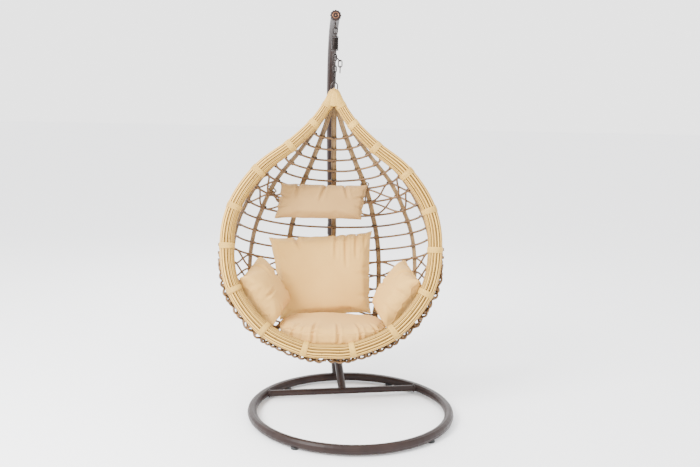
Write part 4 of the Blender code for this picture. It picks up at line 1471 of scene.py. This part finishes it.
@dataclass
class Upholstery:
    """The seat pad, the back cushion, the two side pillows and the head pillow with its ties."""

    shell: Shell
    palette: Palette
    knot_radius: float = 0.0026
    strap_radius: float = 0.0030

    def cushions(self) -> list[Cushion]:
        """Sets out every cushion in the space that the frame gives it.

        Returns:
            The cushions.
        """
        side_creases = (Crease((-0.80, -0.05), (-0.15, -0.02), 0.010, 0.0075),
                        Crease((-0.55, -1.0), (-0.35, -0.45), 0.008, 0.0090),
                        Crease((0.15, 1.0), (0.05, 0.35), 0.008, 0.0110),
                        Crease((0.98, 0.30), (0.45, 0.20), 0.008, 0.0110),
                        Crease((0.98, -0.45), (0.55, -0.35), 0.007, 0.0100))
        pillow = {"width": 0.280, "height": 0.290, "thickness": 0.125, "fill": 0.8,
                  "ears": 0.04, "waist": -0.02}
        return [
            Cushion("seat_pad", "seat_cushion", "seat", 0.570, 0.405, 0.104, (0.012, -0.055, 0.388),
                    (0, 0, 0), fill=0.75, boxed=True, travel=0.012, creases=(
                        Crease((-0.34, -1.1), (-0.25, -0.15), 0.012, 0.0075),
                        Crease((0.12, -1.1), (0.09, -0.25), 0.012, 0.0075),
                        Crease((0.52, -1.0), (0.40, -0.15), 0.011, 0.0075),
                        Crease((-0.70, -0.85), (-0.52, -0.25), 0.008, 0.007),
                        Crease((-0.52, -0.85), (-0.42, -0.45), 0.006, 0.006),
                        Crease((0.78, -0.75), (0.62, -0.20), 0.008, 0.007))),
            Cushion("back_pad", "back_cushion", "back", 0.556, 0.445, 0.116, (-0.047, 0.219, 0.611),
                    (-14, -5, 0), Stance.UPRIGHT, fill=0.75, ears=0.05, waist=-0.03, taper=0.12,
                    travel=0.020, creases=(
                        Crease((-0.50, 1.0), (-0.36, 0.60), 0.014, 0.010),
                        Crease((0.30, 1.0), (0.26, 0.30), 0.011, 0.0085),
                        Crease((0.48, 1.0), (0.45, 0.10), 0.012, 0.0085),
                        Crease((0.68, 1.0), (0.64, 0.30), 0.011, 0.0080),
                        Crease((0.84, 0.95), (0.80, 0.50), 0.009, 0.0070),
                        Crease((-0.90, 0.90), (-0.60, 0.30), 0.009, 0.014),
                        Crease((-0.98, 0.10), (-0.55, -0.10), 0.007, 0.014),
                        Crease((-0.98, -0.40), (-0.60, -0.30), 0.007, 0.012),
                        Crease((0.98, -0.10), (0.62, 0.00), 0.007, 0.012),
                        Crease((0.98, -0.60), (0.60, -0.50), 0.006, 0.012))),
            Cushion("left_side_pad", "left_pillow", "pillow_left", place=(-0.322, -0.028, 0.580),
                    turn=(12, -30, -18), stance=Stance.FACING_RIGHT, creases=side_creases, **pillow),
            Cushion("right_side_pad", "right_pillow", "pillow_right", place=(0.322, -0.028, 0.580),
                    turn=(12, 30, 18), stance=Stance.FACING_LEFT, creases=side_creases, **pillow),
            Cushion("head_pad", "head_pillow", "head", 0.450, 0.188, 0.086, (-0.058, 0.106, 1.012),
                    (-18, 0, 0), Stance.UPRIGHT, fill=0.8, ears=0.03, waist=-0.02, lean=0.015,
                    travel=0.010, creases=(
                        Crease((-0.50, 1.0), (-0.56, 0.00), 0.012, 0.0080),
                        Crease((0.12, 1.0), (-0.04, -0.15), 0.013, 0.0080),
                        Crease((0.50, 1.0), (0.60, 0.05), 0.012, 0.0080),
                        Crease((-1.0, 0.35), (-0.66, 0.10), 0.010, 0.0080),
                        Crease((1.0, 0.30), (0.70, 0.05), 0.010, 0.0080),
                        Crease((-1.0, -0.45), (-0.70, -0.25), 0.009, 0.0080),
                        Crease((1.0, -0.45), (0.72, -0.25), 0.009, 0.0080))),
        ]

    def build_ties(self, head: Cushion) -> None:
        """Cane knots on the ribs beside the head pillow, and the pillow's own short straps.

        Args:
            head: The head pillow.
        """
        place = head.matrix()
        for side, word, number in ((-1, "left", 2), (1, "right", 1)):
            corner = place @ Vector((side * (head.width / 2 - 0.004), 0.012, -0.012))
            route = [(self.shell.place @ self.shell.local(a, t), a, t)
                     for a, t in self.shell.rib(number, side)]
            rib, angle, t = min(route, key=lambda item: (item[0] - corner).length)
            out = self.shell.turn @ self.shell.normal(angle, t)
            tie = Draft()
            away = (rib - corner).normalized()
            across = away.cross(Vector((0, 0, 1))).normalized()
            for loop in range(4):
                path = []
                for step in range(25):
                    turn = 2 * math.pi * step / 24
                    loose = noise.noise(Vector((loop * 3.3, turn, side * 2.0)))
                    path.append(rib + away * ((0.016 + 0.003 * loop) * math.cos(turn) - 0.004 * loop)
                                + across * ((0.015 + 0.002 * loop) * math.sin(turn))
                                + Vector((0, 0, 0.008 * loop - 0.012 + 0.012 * loose)) + out * 0.002)
                tie.tube(path, self.knot_radius, 6, 0.3 * loop)
            fit(tie.build(f"head_tie_{word}", self.palette.hoop_cane), BASKET, Slot.WICKER)
            tie = Draft()
            for strap in range(2):
                rise = Vector((0, 0, 0.010 - 0.020 * strap))
                path = smooth_path([
                    corner - away * 0.014, corner + rise * 1.4 + away * 0.003,
                    corner.lerp(rib, 0.40) + rise * 0.6, corner.lerp(rib, 0.62) + rise * 0.2], 8)
                tie.tube(path, self.strap_radius, 7, 0.6)
            fit(tie.build(f"head_strap_{word}", self.palette.hoop_cane), head.body, Slot.WICKER)

    def build(self) -> None:
        """Builds the cushions and the head pillow's ties."""
        for cushion in self.cushions():
            cushion.build(self.palette.tan_canvas if cushion.name == "head_pad" else self.palette.canvas)
            if cushion.name == "head_pad":
                self.build_ties(cushion)


# ---------------------------------------------------------------- hanger and stand


@dataclass
class Hanger:
    """The close-wound spring, wound between the upper hook and the lower one."""

    palette: Palette
    turns: int = 11
    steps: int = 28
    wire: float = 0.0023

    def build(self) -> None:
        """Builds the coil from the upper hook to the lower one."""
        low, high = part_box("coil_spring")
        centre = (low + high) / 2
        radius = (high.x - low.x) / 2 - self.wire
        top, bottom = high.z - self.wire, low.z + self.wire
        path = []
        for step in range(self.turns * self.steps + 1):
            share = step / (self.turns * self.steps)
            angle = 2 * math.pi * step / self.steps
            path.append(Vector((centre.x + radius * math.cos(angle), centre.y + radius * math.sin(angle),
                                top + (bottom - top) * share)))
        coil = Draft().tube(path, self.wire, 8).build("spring_coil", self.palette.steel)
        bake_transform(coil)
        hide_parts("coil_spring")
        LOG.info("%s stretches between its hooks", coil.name)


@dataclass
class Stand:
    """The weld beads at the floor ring and the rosette on the post's end.

    The ring's and the crossbar's sizes are the frame's own. The rosette's profiles are points of radius
    and height.
    """

    palette: Palette
    ring_radius: float = 0.4775
    ring_turn: float = math.radians(9.5)
    ring_centre: tuple[float, float] = (0.0663, -0.1302)
    crossbar_setback: float = 0.257
    crossbar_tube: float = 0.0165
    tube: float = 0.0225
    petal_profile: tuple[tuple[float, float], ...] = (
        (0, -0.002), (0.0262, -0.002), (0.0270, 0.0005), (0.0245, 0.0030), (0.0195, 0.0042),
        (0.0170, 0.0034), (0.0120, 0.0036), (0, 0.0036))
    petals: int = 12
    dot_profile: tuple[tuple[float, float], ...] = (
        (0, 0.002), (0.0040, 0.002), (0.0037, 0.0046), (0.0022, 0.0060), (0, 0.0062))
    copper_radius: float = 0.0135
    copper_wire: float = 0.0017

    def frame(self) -> Matrix:
        """The stand's own axes."""
        return Matrix.Translation((*self.ring_centre, 0)) @ Matrix.Rotation(self.ring_turn, 4, "Z")

    def bead(self, draft: Draft, centre: Vector, axis: Vector, radius: float, number: float) -> None:
        """A rippled weld bead round a tube's end.

        Args:
            draft: The draft that it is added to.
            centre: The bead's middle.
            axis: The tube's direction.
            radius: The tube's radius.
            number: Its number, for its ripples.
        """
        across = axis.orthogonal().normalized()
        other = axis.cross(across).normalized()
        path, radii = [], []
        for step in range(72):
            angle = 2 * math.pi * step / 72
            path.append(centre + (across * math.cos(angle) + other * math.sin(angle)) * radius)
            radii.append(0.0026 + 0.0006 * abs(math.sin(angle * 18 + number)))
        draft.tube(path, radii, 8, number, closed=True)

    def build_welds(self) -> None:
        """A bead at each end of the crossbar."""
        height = middle("crossbar").z
        half = math.sqrt(self.ring_radius**2 - self.crossbar_setback**2)
        axis = self.frame().to_3x3() @ Vector((1, 0, 0))
        welds = Draft()
        for side in (-1, 1):
            reach = half - self.tube / (half / self.ring_radius) + 0.002
            centre = self.frame() @ Vector((side * reach, self.crossbar_setback, height))
            self.bead(welds, centre, axis, self.crossbar_tube + 0.0012, side)
        fit(welds.build("weld_beads", self.palette.coat), STAND, Slot.BRONZE)

    def build_rosette(self) -> None:
        """The scalloped rosette on the cap, with a copper ring and a copper dot."""
        cap = FRAME["nodes"]["post_end_cap"]
        points = np.array([tuple(cap.matrix_world @ v.co) for v in cap.data.vertices])
        centre = points.mean(0)
        axis = Vector(np.linalg.svd(points - centre)[2][2])
        if axis.y > 0:
            axis.negate()
        reach = max((Vector(p) - Vector(centre)).dot(axis) for p in points)
        facing = axis.to_track_quat("Z", "Y").to_matrix().to_4x4()
        place = Matrix.Translation(Vector(centre) + axis * (reach - 0.0035)) @ facing
        petals = Draft().lathe(self.petal_profile, place, 96, self.petals, 0.13)
        fit(petals.build("cap_rosette", self.palette.coat), STAND, Slot.BRONZE)
        rings = Draft()
        circle = [place @ Vector((self.copper_radius * math.cos(a), self.copper_radius * math.sin(a), 0.0040))
                  for a in np.linspace(0, 2 * math.pi, 48, endpoint=False)]
        rings.tube(circle, self.copper_wire, 8, 0.5, closed=True)
        rings.lathe(self.dot_profile, place, 24)
        fit(rings.build("cap_copper_ring", self.palette.copper), STAND, Slot.BRONZE)

    def build(self) -> None:
        """Builds the stand's fine pieces."""
        self.build_welds()
        self.build_rosette()


# ---------------------------------------------------------------- room and main


@dataclass(frozen=True)
class Studio:
    """A pale floor, soft light from above and both sides, and the camera in front of the chair.

    Each lamp has a name, a place, a width and a power.
    """

    camera_place: tuple[float, float, float] = (0.0461, -3.9702, 1.524)
    pitch: float = math.radians(9.281)
    roll: float = math.radians(1.173)
    lens: float = 42.43
    surround: float = 2.9
    lamps: tuple[tuple[str, tuple[float, float, float], float, float], ...] = (
        ("key", (-2.6, -2.6, 3.2), 1.8, 480), ("fill", (2.8, -3.0, 1.4), 2.4, 25),
        ("back", (-0.6, 3.0, 3.2), 2.4, 100))

    def build_camera(self) -> None:
        """A view from in front, looking slightly down."""
        data = bpy.data.cameras.new("camera")
        data.lens = self.lens
        data.sensor_width = 36.0
        camera = bpy.data.objects.new("camera", data)
        tilt = Matrix.Rotation(math.pi / 2 - self.pitch, 4, "X")
        roll = Matrix.Rotation(self.roll, 4, "Z")
        camera.matrix_world = Matrix.Translation(self.camera_place) @ tilt @ roll
        bpy.context.scene.collection.objects.link(camera)
        bpy.context.scene.camera = camera

    def build_light(self, name: str, place: tuple[float, float, float], size: float, power: float) -> None:
        """Adds a square soft light that faces the middle of the chair.

        Args:
            name: The light's name.
            place: Where it stands.
            size: The length of its side.
            power: Its power in watts.
        """
        data = bpy.data.lights.new(name, "AREA")
        data.size = size
        data.energy = power
        light = bpy.data.objects.new(name, data)
        light.location = place
        light.rotation_euler = (Vector((0, 0, 0.8)) - Vector(place)).to_track_quat("-Z", "Y").to_euler()
        bpy.context.scene.collection.objects.link(light)

    def build(self) -> None:
        """Sets up the floor, the lights and the camera."""
        self.build_camera()
        mesh = bpy.data.meshes.new("floor")
        mesh.from_pydata([(-40, -40, 0), (40, -40, 0), (40, 40, 0), (-40, 40, 0)], [], [(0, 1, 2, 3)])
        floor = bpy.data.objects.new("floor", mesh)
        bpy.context.scene.collection.objects.link(floor)
        graph = Graph("pale_floor")
        cloud = graph.noise(graph.place(), 0.7, 2.0)
        tone = graph.mix(cloud * 0.2, (0.93, 0.935, 0.95), (0.90, 0.905, 0.92))
        graph.set(Base_Color=tone, Roughness=0.8)
        mesh.materials.append(graph.material)
        world = bpy.data.worlds.new("room")
        world.use_nodes = True
        sky = world.node_tree.nodes["Background"].inputs
        sky["Color"].default_value = (1.0, 1.0, 1.0, 1.0)
        sky["Strength"].default_value = self.surround
        bpy.context.scene.world = world
        for lamp in self.lamps:
            self.build_light(*lamp)


def finish_frame(nodes: dict[str, bpy.types.Object], palette: Palette) -> None:
    """Gives the frame's own pieces their finishes.

    Args:
        nodes: The frame's objects by name.
        palette: The finishes.
    """
    finishes = {Slot.BRONZE: palette.coat, Slot.STEEL: palette.steel, Slot.RATTAN: palette.rim_cane,
                Slot.WICKER: palette.rib_cane, Slot.FABRIC: palette.canvas, Slot.PLASTIC: palette.plastic}
    for name, node in nodes.items():
        slot = next(Slot(s["material_slot"]) for s in FRAME["record"]["subparts"] if s["node"] == name)
        for place in node.material_slots:
            place.material = finishes[slot]


def main() -> None:
    """Builds the chair round the frame."""
    logging.basicConfig(level=logging.INFO, format="%(message)s")
    Studio().build()
    palette = Palette()
    shell = Shell()
    finish_frame(FRAME["nodes"], palette)
    Rim(shell, palette).build()
    Lattice(shell, palette).build()
    Hanger(palette).build()
    Stand(palette).build()
    Upholstery(shell, palette).build()


if __name__ == "__main__":
    main()
